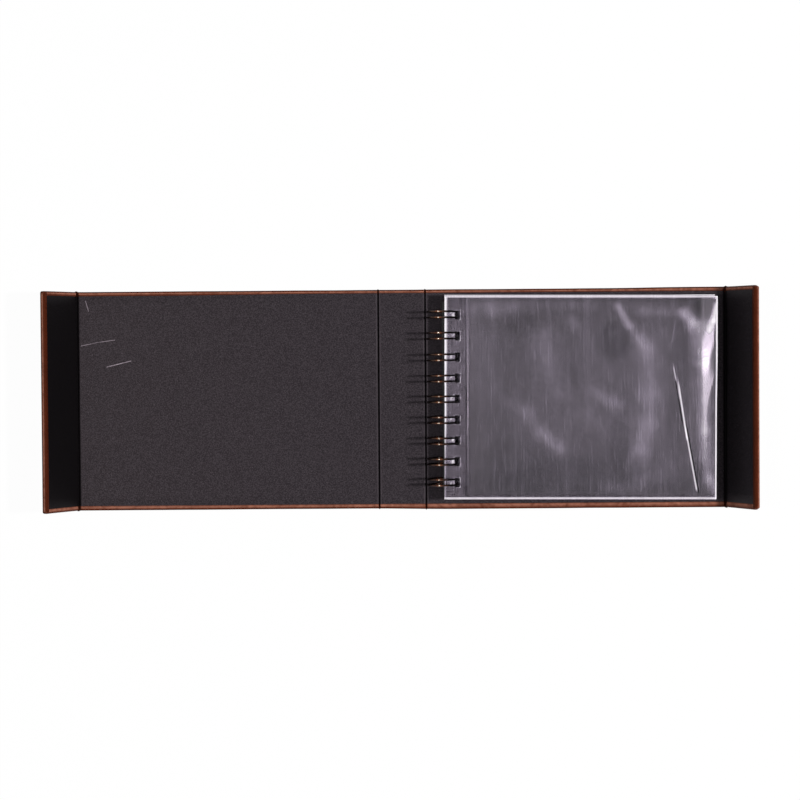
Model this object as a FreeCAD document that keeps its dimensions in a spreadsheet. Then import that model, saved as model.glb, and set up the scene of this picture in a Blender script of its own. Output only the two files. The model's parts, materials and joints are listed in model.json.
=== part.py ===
import FreeCAD, Part
import math
import os

import Sketcher

# A flap-closed album: wrapped boards joined by soft folds, and a block of clear pocket leaves
# held in twin-loop wire on the back cover.  Millimetres, +Z up, the album lying open and flat.
# +X runs from the front flap to the back flap and +Y to the head of the album.

SIZES = [
    ("leaf_width", 166.0, "pocket leaf, binding edge to fore edge"),
    ("leaf_height", 123.3, "pocket leaf, foot to mouth"),
    ("leaf_count", 10, "leaves in the block"),
    ("leaf_gap", 0.3, "air between two leaves"),
    ("film_thickness", 0.15, "one film of a pocket"),
    ("insert_thickness", 0.25, "black card in a pocket"),
    ("insert_slack", 0.05, "free height over the card in its pocket"),
    ("insert_side_clearance", 0.6, "pocket wall to card, at each side and the foot"),
    ("insert_mouth_clearance", 1.6, "mouth of the pocket to card"),
    ("binding_margin", 14.5, "binding edge to pocket"),
    ("side_weld", 1.6, "welded strip at the fore edge"),
    ("foot_weld", 1.8, "welded strip at the foot"),
    ("lip_height", 1.6, "back film beyond the mouth of the pocket"),
    ("lip_end", 1.6, "lip end to fore edge"),
    ("hole_edge_distance", 8.5, "binding edge to the middle of the holes"),
    ("hole_width", 3.2, "leaf hole across the binding"),
    ("hole_end_clearance", 0.2, "leaf hole past the wires, at each end"),
    ("loop_radius", 9.3, "wire loop, to the middle of the wire"),
    ("wire_diameter", 1.1, "binding wire"),
    ("wire_spacing", 3.5, "two wires of one loop, middle to middle"),
    ("loop_pitch", 12.7, "loop to loop, two to the inch"),
    ("loop_end_margin", 10.0, "least room from an end of the leaf to a loop"),
    ("loop_floor_clearance", 0.3, "loop over the lining"),
    ("loop_fold_clearance", 0.4, "loop beside the spine fold"),
    ("elbow_radius", 1.2, "wire bend at the root of a loop"),
    ("root_angle", 70.0, "root of a loop, below the level of its middle"),
    ("tip_angle", 97.3, "tip of a loop, below the level of its middle"),
    ("carrier_thickness", 2.6, "carrier board under the leaves"),
    ("carrier_margin_thickness", 0.8, "carrier board over the wire"),
    ("carrier_edge_offset", 0.2, "middle of the loops to the carrier's edge"),
    ("carrier_hole_clearance", 0.3, "carrier hole past the wire"),
    ("carrier_relief_margin", 1.6, "relief under the carrier, past its holes"),
    ("carrier_inset", 2.5, "leaf edge to carrier edge, at head, foot and fore edge"),
    ("first_leaf_clearance", 0.45, "carrier board to the lowest leaf"),
    ("head_margin", 5.35, "cover past the leaves at head and foot"),
    ("fore_edge_margin", 6.05, "leaves to the back flap's fold"),
    ("front_cover_excess", 0.9, "front cover wider than the back cover"),
    ("closed_headroom", 8.7, "loops to the front lining when the album is closed"),
    ("back_flap_clearance", 0.7, "back flap's end to the front lining when closed"),
    ("front_flap_overlap", 0.7, "front flap past the back lining when closed"),
    ("front_flap_angle", 58.0, "front flap as it stands open"),
    ("back_flap_angle", 60.0, "back flap as it stands open"),
    ("board_thickness", 3.0, "greyboard"),
    ("covering_thickness", 0.6, "leather covering"),
    ("lining_thickness", 0.4, "lining paper and skived turn-ins"),
    ("turn_in_width", 2.0, "covering seen around the lining"),
    ("lining_clearance", 0.1, "lining to turn-in"),
    ("spine_fold_gap", 2.8, "board to board at the spine folds"),
    ("flap_fold_gap", 4.0, "board to board at the flap folds"),
    ("strip_thickness", 0.8, "fold strip"),
    ("strip_depth", 1.6, "lining level to fold strip"),
    ("catch_length", 22.0, "closing magnet and keeper, along the fold"),
    ("catch_width", 8.0, "closing magnet and keeper, across the fold"),
    ("catch_spacing", 76.0, "closing magnets, middle to middle"),
    ("magnet_thickness", 1.5, "closing magnet"),
    ("magnet_distance", 20.0, "front fold to the middle of the magnets"),
    ("keeper_thickness", 0.8, "steel keeper"),
    ("keeper_distance", 9.0, "back fold to the middle of the keepers"),
]

CATCH_SIDES = (-1, 1)

# Lengths worked out from the driving sizes.
TOTAL = "(Sizes.board_thickness + Sizes.covering_thickness + Sizes.lining_thickness)"
HALF_HEIGHT = "(Sizes.leaf_height/2 + Sizes.head_margin)"
LEAF_THICKNESS = "(2*Sizes.film_thickness + Sizes.insert_thickness + Sizes.insert_slack)"
LOOP_OUTSIDE = "(Sizes.loop_radius + Sizes.wire_diameter/2)"
LOOP_INSIDE = "(Sizes.loop_radius - Sizes.wire_diameter/2)"
LOOP_LEVEL = "(Sizes.loop_floor_clearance + " + LOOP_OUTSIDE + ")"
LOOP_X = "(" + LOOP_OUTSIDE + " + Sizes.loop_fold_clearance)"
LOOP_COUNT = "(floor((Sizes.leaf_height - 2*Sizes.loop_end_margin)/Sizes.loop_pitch) + 1)"
LOOP_ROW = "((" + LOOP_COUNT + " - 1)*Sizes.loop_pitch)"
HOLE_LENGTH = "(Sizes.wire_spacing + Sizes.wire_diameter + 2*Sizes.hole_end_clearance)"
SPINE_WIDTH = "(" + LOOP_LEVEL + " + " + LOOP_OUTSIDE + " + Sizes.closed_headroom)"
LEAF_REACH = "(" + LOOP_X + " + Sizes.loop_radius + Sizes.leaf_width - Sizes.hole_edge_distance)"
BACK_WIDTH = "(" + LEAF_REACH + " + Sizes.fore_edge_margin)"
FRONT_WIDTH = "(" + BACK_WIDTH + " + Sizes.front_cover_excess)"
BACK_FLAP = "(" + SPINE_WIDTH + " - Sizes.back_flap_clearance)"
FRONT_FLAP = "(" + SPINE_WIDTH + " + Sizes.front_flap_overlap)"
FRONT_REACH = (
    "(" + FRONT_FLAP + "*cos(Sizes.front_flap_angle) + " + TOTAL + "*sin(Sizes.front_flap_angle))"
)
BACK_REACH = (
    "(" + BACK_FLAP + "*cos(Sizes.back_flap_angle) + " + TOTAL + "*sin(Sizes.back_flap_angle))"
)
LEFT_END = "(" + SPINE_WIDTH + " + " + FRONT_WIDTH + " + " + FRONT_REACH + ")"
RIGHT_END = "(" + BACK_WIDTH + " + " + BACK_REACH + ")"

# Where each fold lies, with the origin under the middle of the open album.
BACK_SPINE_FOLD = "((" + LEFT_END + " - " + RIGHT_END + ")/2)"
FRONT_SPINE_FOLD = "(" + BACK_SPINE_FOLD + " - " + SPINE_WIDTH + ")"
FRONT_FOLD = "(" + FRONT_SPINE_FOLD + " - " + FRONT_WIDTH + ")"
BACK_FOLD = "(" + BACK_SPINE_FOLD + " + " + BACK_WIDTH + ")"

doc = FreeCAD.newDocument("Album")
sheet = doc.addObject("Spreadsheet::Sheet", "Sizes")
pieces = []


def fill_sheet():
    """One row for each driving size: its name, its value and what it is."""
    for row, (alias, value, meaning) in enumerate(SIZES, start=1):
        sheet.set("A" + str(row), alias)
        sheet.set("B" + str(row), str(value))
        sheet.set("C" + str(row), meaning)
        sheet.setAlias("B" + str(row), alias)
    doc.recompute()


def value_of(expression):
    """The number that an expression over the sheet stands for now."""
    return float(sheet.evalExpression(expression))


def new_body(name):
    """An empty body that becomes one sub-part of the album."""
    body = doc.addObject("PartDesign::Body", name)
    body.Label = name
    pieces.append(body)
    return body


def place(piece, fold_x, level=TOTAL, turn="0"):
    """Put a piece at its fold, at a level, turned about the fold by an angle towards -X."""
    piece.Placement = FreeCAD.Placement(
        FreeCAD.Vector(0, 0, 0), FreeCAD.Rotation(FreeCAD.Vector(0, 1, 0), value_of(turn))
    )
    piece.setExpression("Placement.Base.x", fold_x)
    piece.setExpression("Placement.Base.z", level)
    if turn != "0":
        piece.setExpression("Placement.Rotation.Angle", turn)


def new_sketch(body, name, role, lift="0"):
    """A sketch on one of the body's own origin planes, lifted off it along its normal."""
    sketch = body.newObject("Sketcher::SketchObject", name)
    plane = [item for item in body.Origin.OriginFeatures if item.Role == role][0]
    sketch.AttachmentSupport = [(plane, "")]
    sketch.MapMode = "FlatFace"
    if lift != "0":
        sketch.setExpression("AttachmentOffset.Base.z", lift)
    return sketch


def draw_polygon(sketch, corners):
    """A closed outline; each corner is a pair of expressions, both kept by a named constraint."""
    points = [FreeCAD.Vector(value_of(x), value_of(y), 0) for x, y in corners]
    count = len(points)
    for index in range(count):
        sketch.addGeometry(Part.LineSegment(points[index], points[(index + 1) % count]), False)
    for index in range(count):
        sketch.addConstraint(
            Sketcher.Constraint("Coincident", index, 2, (index + 1) % count, 1)
        )
    for index, (x, y) in enumerate(corners):
        for kind, expression, number in (("DistanceX", x, points[index].x),
                                         ("DistanceY", y, points[index].y)):
            row = sketch.addConstraint(Sketcher.Constraint(kind, -1, 1, index, 1, number))
            label = "corner" + str(index) + kind[-1]
            sketch.renameConstraint(row, label)
            sketch.setExpression("Constraints." + label, expression)


def draw_rectangle(sketch, left, right, low, high):
    """A rectangle between four expressions."""
    draw_polygon(sketch, [(left, low), (right, low), (right, high), (left, high)])


def pad(body, name, sketch, length, both_ways=False):
    """Add the sketched outline, away from its plane or evenly to both sides of it."""
    feature = body.newObject("PartDesign::Pad", name)
    feature.Profile = sketch
    if both_ways:
        feature.SideType = "Symmetric"
    feature.setExpression("Length", length)
    return feature


def pocket(body, name, sketch, depth):
    """Cut the sketched outline, upwards from its plane."""
    feature = body.newObject("PartDesign::Pocket", name)
    feature.Profile = sketch
    feature.Reversed = True
    feature.setExpression("Length", depth)
    return feature


def slab(body, name, left, right, half, low, thickness):
    """A flat plate, even about the middle of the album's height."""
    sketch = new_sketch(body, name + "_outline", "XY_Plane", low)
    draw_rectangle(sketch, left, right, "-" + half, half)
    return pad(body, name, sketch, thickness)


def cut_box(body, name, left, right, low_y, high_y, low, depth):
    """Cut a box out of a body."""
    sketch = new_sketch(body, name + "_outline", "XY_Plane", low)
    draw_rectangle(sketch, left, right, low_y, high_y)
    return pocket(body, name, sketch, depth)


def hole_row(body, name, middle, width, low, depth):
    """One hole for each loop, in a row along the binding edge."""
    first = "(-" + LOOP_ROW + "/2)"
    cut = cut_box(
        body, name,
        middle + " - " + width + "/2", middle + " + " + width + "/2",
        first + " - " + HOLE_LENGTH + "/2", first + " + " + HOLE_LENGTH + "/2",
        low, depth,
    )
    pattern = body.newObject("PartDesign::LinearPattern", name + "_row")
    pattern.Originals = [cut]
    pattern.Direction = (cut.Profile[0], ["V_Axis"])
    pattern.setExpression("Length", LOOP_ROW)
    pattern.setExpression("Occurrences", LOOP_COUNT)
    body.Tip = pattern
    return pattern


def wrapped_board(prefix, left, right, wrapped_left, wrapped_right, fold_x, turn="0"):
    """Board, covering and lining of one panel, with the lining's face at its own zero level.

    A wrapped end has the covering round it; the other ends run into a fold.
    """
    board_low = "-(Sizes.board_thickness + Sizes.lining_thickness)"
    board_left = left + (" + Sizes.covering_thickness" if wrapped_left else "")
    board_right = right + (" - Sizes.covering_thickness" if wrapped_right else "")
    board_half = "(" + HALF_HEIGHT + " - Sizes.covering_thickness)"
    window_left = left + (" + Sizes.turn_in_width" if wrapped_left else "")
    window_right = right + (" - Sizes.turn_in_width" if wrapped_right else "")
    window_half = "(" + HALF_HEIGHT + " - Sizes.turn_in_width)"
    lining_left = window_left + (" + Sizes.lining_clearance" if wrapped_left else "")
    lining_right = window_right + (" - Sizes.lining_clearance" if wrapped_right else "")
    lining_half = "(" + window_half + " - Sizes.lining_clearance)"

    board = new_body(prefix + "_board")
    slab(board, prefix + "_board_plate", board_left, board_right, board_half,
         board_low, "Sizes.board_thickness")

    covering = new_body(prefix + "_covering")
    slab(covering, prefix + "_covering_block", left, right, HALF_HEIGHT, "-" + TOTAL, TOTAL)
    cut_box(covering, prefix + "_board_room", board_left, board_right,
            "-" + board_half, board_half, board_low, "Sizes.board_thickness")
    cut_box(covering, prefix + "_lining_window", window_left, window_right,
            "-" + window_half, window_half, "-Sizes.lining_thickness", "Sizes.lining_thickness")

    lining = new_body(prefix + "_lining")
    slab(lining, prefix + "_lining_sheet", lining_left, lining_right, lining_half,
         "-Sizes.lining_thickness", "Sizes.lining_thickness")

    for piece in (board, covering, lining):
        place(piece, fold_x, TOTAL, turn)
    return board


def catch_rooms(board, name, middle, low, depth):
    """Rooms in a flap's board for the two halves of the closing catch."""
    for side in CATCH_SIDES:
        centre = "(" + str(side) + "*Sizes.catch_spacing/2)"
        cut_box(
            board, name + ("_foot" if side < 0 else "_head"),
            middle + " - Sizes.catch_width/2", middle + " + Sizes.catch_width/2",
            centre + " - Sizes.catch_length/2", centre + " + Sizes.catch_length/2",
            low, depth,
        )


def catch_bars(name, middle, low, thickness, fold_x, turn):
    """Two equal bars of the closing catch, as one node."""
    bars = []
    for side in CATCH_SIDES:
        bar = doc.addObject("Part::Box", name + ("_foot" if side < 0 else "_head"))
        bar.setExpression("Length", "Sizes.catch_width")
        bar.setExpression("Width", "Sizes.catch_length")
        bar.setExpression("Height", thickness)
        bar.setExpression("Placement.Base.x", middle + " - Sizes.catch_width/2")
        bar.setExpression(
            "Placement.Base.y",
            str(side) + "*Sizes.catch_spacing/2 - Sizes.catch_length/2",
        )
        bar.setExpression("Placement.Base.z", low)
        bars.append(bar)
    pair = doc.addObject("Part::Compound", name)
    pair.Label = name
    pair.Links = bars
    pieces.append(pair)
    place(pair, fold_x, TOTAL, turn)


def fold_strip(name, corners, fold_x):
    """The soft strip of a fold: an outline across the fold, drawn out along it."""
    body = new_body(name)
    sketch = new_sketch(body, name + "_section", "XZ_Plane")
    draw_polygon(sketch, corners)
    pad(body, name + "_strip", sketch, "2*" + HALF_HEIGHT, both_ways=True)
    place(body, fold_x)


def flat_fold_strip(name, gap, fold_x):
    """A strip between two boards that lie flat."""
    top = "-Sizes.strip_depth"
    low = "-(Sizes.strip_depth + Sizes.strip_thickness)"
    fold_strip(name, [("-" + gap + "/2", low), (gap + "/2", low),
                      (gap + "/2", top), ("-" + gap + "/2", top)], fold_x)


def raised_fold_strip(name, gap, angle, side, fold_x):
    """A strip between a flat board and a flap that stands up on one side of it."""
    near = "(-" + str(side) + "*" + gap + "/2)"
    top = "Sizes.strip_depth"
    low = "(Sizes.strip_depth + Sizes.strip_thickness)"

    def flap_point(depth):
        across = str(side) + "*(" + gap + "/2*cos(" + angle + ") + " + depth + "*sin(" + angle + "))"
        up = "(" + gap + "/2*sin(" + angle + ") - " + depth + "*cos(" + angle + "))"
        return across, up

    fold_strip(name, [(near, "-" + low), flap_point(low), flap_point(top), (near, "-" + top)],
               fold_x)


def add_carrier():
    """The board that holds the wire on the back cover, relieved over the loops' roots."""
    margin_low = "(Sizes.carrier_thickness - Sizes.carrier_margin_thickness)"
    left = "(" + LOOP_X + " + Sizes.carrier_edge_offset)"
    right = "(" + LEAF_REACH + " - Sizes.carrier_inset)"
    half = "(Sizes.leaf_height/2 - Sizes.carrier_inset)"
    hole_left = (
        "(sqrt(" + LOOP_INSIDE + "^2 - (" + LOOP_LEVEL + " - " + margin_low + ")^2)"
        " - Sizes.carrier_hole_clearance)"
    )
    hole_right = (
        "(sqrt(" + LOOP_OUTSIDE + "^2 - (" + LOOP_LEVEL + " - Sizes.carrier_thickness)^2)"
        " + Sizes.carrier_hole_clearance)"
    )
    middle = "(" + LOOP_X + " + (" + hole_left + " + " + hole_right + ")/2)"
    width = "(" + hole_right + " - " + hole_left + ")"
    body = new_body("carrier_board")
    slab(body, "carrier_plate", left, right, half, "0", "Sizes.carrier_thickness")
    cut_box(body, "carrier_relief",
            left, LOOP_X + " + " + hole_right + " + Sizes.carrier_relief_margin",
            "-" + half, half, "0", margin_low)
    hole_row(body, "carrier_hole", middle, width, "0", "Sizes.carrier_thickness")
    place(body, BACK_SPINE_FOLD)


def add_leaf(number):
    """One clear pocket leaf and the black card in it."""
    pitch = "(" + LEAF_THICKNESS + " + Sizes.leaf_gap)"
    underside = (
        "(Sizes.carrier_thickness + Sizes.first_leaf_clearance + "
        + str(number - 1) + "*" + pitch + ")"
    )
    drop = "(" + LOOP_LEVEL + " - " + underside + " - " + LEAF_THICKNESS + "/2)"
    hole_x = "(" + LOOP_X + " + sqrt(Sizes.loop_radius^2 - " + drop + "^2))"
    edge = "(" + BACK_SPINE_FOLD + " + " + hole_x + " - Sizes.hole_edge_distance)"
    level = "(" + TOTAL + " + " + underside + ")"
    half = "(Sizes.leaf_height/2)"
    room_right = "(Sizes.leaf_width - Sizes.side_weld)"
    tag = str(number).zfill(2)

    sleeve = new_body("leaf_" + tag + "_sleeve")
    slab(sleeve, "sleeve_films_" + tag, "0", "Sizes.leaf_width", half, "0", LEAF_THICKNESS)
    lip = new_sketch(sleeve, "lip_outline_" + tag, "XY_Plane")
    draw_rectangle(lip, "0", "(Sizes.leaf_width - Sizes.lip_end)",
                   half, "(" + half + " + Sizes.lip_height)")
    pad(sleeve, "lip_" + tag, lip, "Sizes.film_thickness")
    cut_box(sleeve, "pocket_room_" + tag, "Sizes.binding_margin", room_right,
            "(-" + half + " + Sizes.foot_weld)", half,
            "Sizes.film_thickness", "(Sizes.insert_thickness + Sizes.insert_slack)")
    hole_row(sleeve, "leaf_hole_" + tag, "Sizes.hole_edge_distance", "Sizes.hole_width",
             "0", LEAF_THICKNESS)
    place(sleeve, edge, level)

    insert = new_body("leaf_" + tag + "_insert")
    card = new_sketch(insert, "card_outline_" + tag, "XY_Plane", "Sizes.film_thickness")
    draw_rectangle(card, "(Sizes.binding_margin + Sizes.insert_side_clearance)",
                   "(" + room_right + " - Sizes.insert_side_clearance)",
                   "(-" + half + " + Sizes.foot_weld + Sizes.insert_side_clearance)",
                   "(" + half + " - Sizes.insert_mouth_clearance)")
    pad(insert, "card_" + tag, card, "Sizes.insert_thickness")
    place(insert, edge, level)


def ring_point(angle, y):
    """A point on the loops' middle line; the angle counts from the leaves' side, upwards."""
    radius = value_of("Sizes.loop_radius")
    return FreeCAD.Vector(
        radius*math.cos(math.radians(angle)), y, radius*math.sin(math.radians(angle))
    )


def ring_tangent(angle):
    """The direction in which the angle grows round a loop."""
    return FreeCAD.Vector(-math.sin(math.radians(angle)), 0, math.cos(math.radians(angle)))


def wire_path():
    """The middle line of the binding: hairpin loops joined root to root by short runs."""
    spacing = value_of("Sizes.wire_spacing")
    pitch = value_of("Sizes.loop_pitch")
    elbow = value_of("Sizes.elbow_radius")
    root = -value_of("Sizes.root_angle")
    tip = 360.0 - value_of("Sizes.tip_angle")
    count = int(value_of(LOOP_COUNT))
    along = FreeCAD.Vector(0, 1, 0)
    down = ring_tangent(root)*-1
    onward = ring_tangent(tip)
    corner = math.sin(math.radians(45))
    edges = []
    for index in range(count):
        middle = (index - (count - 1)/2)*pitch
        first = middle - spacing/2
        second = middle + spacing/2
        top = (root + tip)/2
        edges.append(Part.Arc(ring_point(root, first), ring_point(top, first),
                              ring_point(tip, first)))
        edges.append(Part.Arc(ring_point(tip, first),
                              ring_point(tip, middle) + onward*(spacing/2),
                              ring_point(tip, second)))
        edges.append(Part.Arc(ring_point(tip, second), ring_point(top, second),
                              ring_point(root, second)))
        if index == count - 1:
            break
        leave = ring_point(root, second)
        arrive = ring_point(root, second + pitch - spacing)
        bend_in = along*(elbow*(1 - corner)) + down*(elbow*corner)
        bend_out = along*(-elbow*(1 - corner)) + down*(elbow*corner)
        run_start = leave + along*elbow + down*elbow
        run_end = arrive - along*elbow + down*elbow
        edges.append(Part.Arc(leave, leave + bend_in, run_start))
        edges.append(Part.LineSegment(run_start, run_end))
        edges.append(Part.Arc(run_end, arrive + bend_out, arrive))
    return Part.Wire([edge.toShape() for edge in edges])


def add_binding_wire():
    """The twin-loop wire, one length of round wire bent into loops."""
    path = wire_path()
    root = -value_of("Sizes.root_angle")
    start = path.Edges[0].valueAt(path.Edges[0].FirstParameter)
    section = Part.Wire(Part.Circle(start, ring_tangent(root),
                                    value_of("Sizes.wire_diameter")/2).toShape())
    binding = doc.addObject("Part::Feature", "binding_wire")
    binding.Label = "binding_wire"
    binding.Shape = path.makePipe(Part.Face(section))
    binding.Placement = FreeCAD.Placement(
        FreeCAD.Vector(value_of(BACK_SPINE_FOLD + " + " + LOOP_X), 0,
                       value_of(TOTAL + " + " + LOOP_LEVEL)),
        FreeCAD.Rotation(),
    )
    pieces.append(binding)
    expected = path.Length*math.pi*value_of("Sizes.wire_diameter")**2/4
    print("binding wire volume", round(binding.Shape.Volume, 3), "expected", round(expected, 3))


def add_panels():
    """The five wrapped boards, with the closing catch in the flaps."""
    spine_half_gap = "Sizes.spine_fold_gap/2"
    flap_half_gap = "Sizes.flap_fold_gap/2"
    wrapped_board("back_cover", spine_half_gap, BACK_WIDTH + " - " + flap_half_gap,
                  False, False, BACK_SPINE_FOLD)
    wrapped_board("spine", "-" + SPINE_WIDTH + " + " + spine_half_gap, "-" + spine_half_gap,
                  False, False, BACK_SPINE_FOLD)
    wrapped_board("front_cover", "-" + FRONT_WIDTH + " + " + flap_half_gap,
                  "-" + spine_half_gap, False, False, FRONT_SPINE_FOLD)
    front = wrapped_board("front_flap", "-" + FRONT_FLAP, "-" + flap_half_gap,
                          True, False, FRONT_FOLD, "Sizes.front_flap_angle")
    back = wrapped_board("back_flap", flap_half_gap, BACK_FLAP,
                         False, True, BACK_FOLD, "-Sizes.back_flap_angle")

    magnet_low = "-(Sizes.lining_thickness + Sizes.magnet_thickness)"
    keeper_low = "-(Sizes.lining_thickness + Sizes.board_thickness)"
    catch_rooms(front, "magnet_room", "-Sizes.magnet_distance", magnet_low,
                "Sizes.magnet_thickness")
    catch_rooms(back, "keeper_room", "Sizes.keeper_distance", keeper_low,
                "Sizes.keeper_thickness")
    catch_bars("front_flap_magnets", "-Sizes.magnet_distance", magnet_low,
               "Sizes.magnet_thickness", FRONT_FOLD, "Sizes.front_flap_angle")
    catch_bars("back_flap_keepers", "Sizes.keeper_distance", keeper_low,
               "Sizes.keeper_thickness", BACK_FOLD, "-Sizes.back_flap_angle")


def add_fold_strips():
    """The four soft folds."""
    flat_fold_strip("back_spine_fold_strip", "Sizes.spine_fold_gap", BACK_SPINE_FOLD)
    flat_fold_strip("front_spine_fold_strip", "Sizes.spine_fold_gap", FRONT_SPINE_FOLD)
    raised_fold_strip("front_flap_fold_strip", "Sizes.flap_fold_gap", "Sizes.front_flap_angle",
                      -1, FRONT_FOLD)
    raised_fold_strip("back_flap_fold_strip", "Sizes.flap_fold_gap", "Sizes.back_flap_angle",
                      1, BACK_FOLD)


def check_document():
    """Stop before anything is written if a feature failed or a piece has no sound shape."""
    for item in doc.Objects:
        if "Invalid" in item.State or "Error" in item.State:
            raise RuntimeError("failed: " + item.Name + " " + str(item.State))
    for piece in pieces:
        if piece.Shape.isNull() or not piece.Shape.isValid() or not piece.Shape.Solids:
            raise RuntimeError("no sound shape: " + piece.Label)


def export_pieces():
    """One STEP file for each piece."""
    os.makedirs("parts", exist_ok=True)
    for piece in pieces:
        piece.Shape.exportStep("parts/" + piece.Label + ".step")


fill_sheet()
add_panels()
add_fold_strips()
add_carrier()
for leaf_number in range(1, int(value_of("Sizes.leaf_count")) + 1):
    add_leaf(leaf_number)
add_binding_wire()
doc.recompute()
check_document()
export_pieces()
print(len(pieces), "pieces")
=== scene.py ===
"""A flap-closed pocket album: a leather-wrapped cover with soft folds, a black paper lining and a
block of clear pocket leaves in twin-loop wire. Laid out as an add-on and run as a script."""
import json
import math

import bmesh
import bpy
from bpy.props import FloatProperty, FloatVectorProperty, IntProperty, PointerProperty
from mathutils import Matrix, Vector, noise

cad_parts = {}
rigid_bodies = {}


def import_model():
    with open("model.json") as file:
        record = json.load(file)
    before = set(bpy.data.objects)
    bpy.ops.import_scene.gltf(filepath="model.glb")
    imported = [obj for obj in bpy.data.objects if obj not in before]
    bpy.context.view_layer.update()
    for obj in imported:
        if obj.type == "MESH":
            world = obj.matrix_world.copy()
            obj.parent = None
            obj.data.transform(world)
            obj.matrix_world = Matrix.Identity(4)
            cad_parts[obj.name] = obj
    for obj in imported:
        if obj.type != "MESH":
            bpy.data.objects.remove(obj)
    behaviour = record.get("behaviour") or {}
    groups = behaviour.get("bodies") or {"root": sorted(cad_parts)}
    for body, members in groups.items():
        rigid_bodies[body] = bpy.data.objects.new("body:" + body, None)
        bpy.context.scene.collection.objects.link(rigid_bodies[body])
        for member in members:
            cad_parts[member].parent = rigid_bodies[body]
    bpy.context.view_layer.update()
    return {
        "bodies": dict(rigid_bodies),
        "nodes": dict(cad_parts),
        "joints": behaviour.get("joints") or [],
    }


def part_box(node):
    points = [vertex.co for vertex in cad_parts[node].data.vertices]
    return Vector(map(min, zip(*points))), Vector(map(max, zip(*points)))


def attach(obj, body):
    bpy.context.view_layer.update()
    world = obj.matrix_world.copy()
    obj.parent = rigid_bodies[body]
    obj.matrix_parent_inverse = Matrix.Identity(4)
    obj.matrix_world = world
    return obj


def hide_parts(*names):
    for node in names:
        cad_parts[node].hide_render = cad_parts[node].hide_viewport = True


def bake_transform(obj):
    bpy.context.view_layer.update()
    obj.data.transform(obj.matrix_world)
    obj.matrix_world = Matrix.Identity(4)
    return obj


bl_info = {
    "name": "Pocket Album",
    "version": (1, 0, 0),
    "blender": (4, 5, 0),
    "location": "3D View > Sidebar > Album",
    "description": "Adds a flap-closed album with clear pocket leaves",
    "category": "Add Mesh",
}

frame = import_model()
JOINTS = {joint["name"]: joint for joint in frame["joints"]}
LEAF_COUNT = sum(name.startswith("leaf_") for name in frame["bodies"])


# ---------------------------------------------------------------- places read from the frame

def fold_point(joint):
    """Where a joint's axis runs, as a point in metres."""
    return Vector(JOINTS[joint]["pos_m"])


def standing_angle(joint):
    """How far a flap stands up at rest, in radians; its lower limit is lying flat."""
    return math.radians(-JOINTS[joint]["range_deg"][0])


def raise_matrix(joint, share=1.0):
    """Turns something modelled flat to where its flap stands."""
    point = fold_point(joint)
    turn = Matrix.Rotation(standing_angle(joint)*share, 4, Vector(JOINTS[joint]["axis"]))
    return Matrix.Translation(point) @ turn @ Matrix.Translation(-point)


def flat_reach(node, joint):
    """How far from its fold a standing flap's covering ends, measured along the flap."""
    back = raise_matrix(joint).inverted()
    return max(abs((back @ v.co).x - fold_point(joint).x)
               for v in frame["nodes"][node].data.vertices)


LEVEL = fold_point("back_spine_fold").z
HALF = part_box("back_cover_covering")[1].y
FOLDS = ["front_flap_fold", "front_spine_fold", "back_spine_fold", "back_flap_fold"]
FRONT_FLAP_LENGTH = flat_reach("front_flap_covering", "front_flap_fold")
BACK_FLAP_LENGTH = flat_reach("back_flap_covering", "back_flap_fold")
SPINE_GAP = 2*(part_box("back_cover_covering")[0].x - fold_point("back_spine_fold").x)
FLAP_GAP = 2*(fold_point("back_flap_fold").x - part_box("back_cover_covering")[1].x)
TURN_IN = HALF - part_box("back_cover_lining")[1].y
LAP = 0.0012             # how far the leather's turned edge runs on under the lining
LEATHER_TOP = LEVEL - 0.00005    # the turned-in leather's face, which the lining laps
PAPER_TOP = LEVEL + 0.00003      # the lining's face
PAPER_GAP = 0.00003      # how far the lining's edge stays off the leather's turned edge
PAPER_HALF = HALF - TURN_IN - PAPER_GAP
PAPER_FOOT = 0.0007      # how much further in the lining ends at the foot than at the head
BACK_FLAP_EXTRA = 0.0003    # how much longer the back flap is here than in the frame
LEAF_SHIFT = (0.00035, 0.0002)    # how far the block of leaves has slipped on its wire
WIRE_AXIS = Vector(JOINTS["leaf_01_turn"]["pos_m"])
SLEEVES = [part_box("leaf_%02d_sleeve" % (k + 1)) for k in range(LEAF_COUNT)]
CARDS = [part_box("leaf_%02d_insert" % (k + 1)) for k in range(LEAF_COUNT)]


# ---------------------------------------------------------------- settings

class AlbumCoverSettings(bpy.types.PropertyGroup):
    leather_colour: FloatVectorProperty(
        name="Leather", description="Base colour of the leather", subtype="COLOR",
        size=3, min=0.0, max=1.0, default=(0.070, 0.0125, 0.0045))
    # The worn colour lightens rubbed edges and also serves as a painted highlight where the rolled
    # edges face the light.
    worn_and_sheen_colour: FloatVectorProperty(
        name="Worn leather", description="Colour of the rubbed edges", subtype="COLOR",
        size=3, min=0.0, max=1.0, default=(0.36, 0.147, 0.098))
    lining_colour: FloatVectorProperty(
        name="Lining", description="Base colour of the lining paper", subtype="COLOR",
        size=3, min=0.0, max=1.0, default=(0.0257, 0.0215, 0.0244))
    edge_roundness: FloatProperty(
        name="Edge roundness", description="Radius of a wrapped board's edge", unit="LENGTH",
        min=0.0002, max=0.0019, default=0.0011)
    leather_thickness: FloatProperty(
        name="Leather thickness", description="Thickness of the covering", unit="LENGTH",
        min=0.0002, max=0.001, default=0.0006)
    groove_depth: FloatProperty(
        name="Fold depth", description="How far the lining dips into a fold", unit="LENGTH",
        min=0.0002, max=0.002, default=0.0016)
    end_bulge: FloatProperty(
        name="Fold end bulge", description="How far a pinched fold end stands out",
        unit="LENGTH", min=0.0, max=0.001, default=0.0005)


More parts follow.
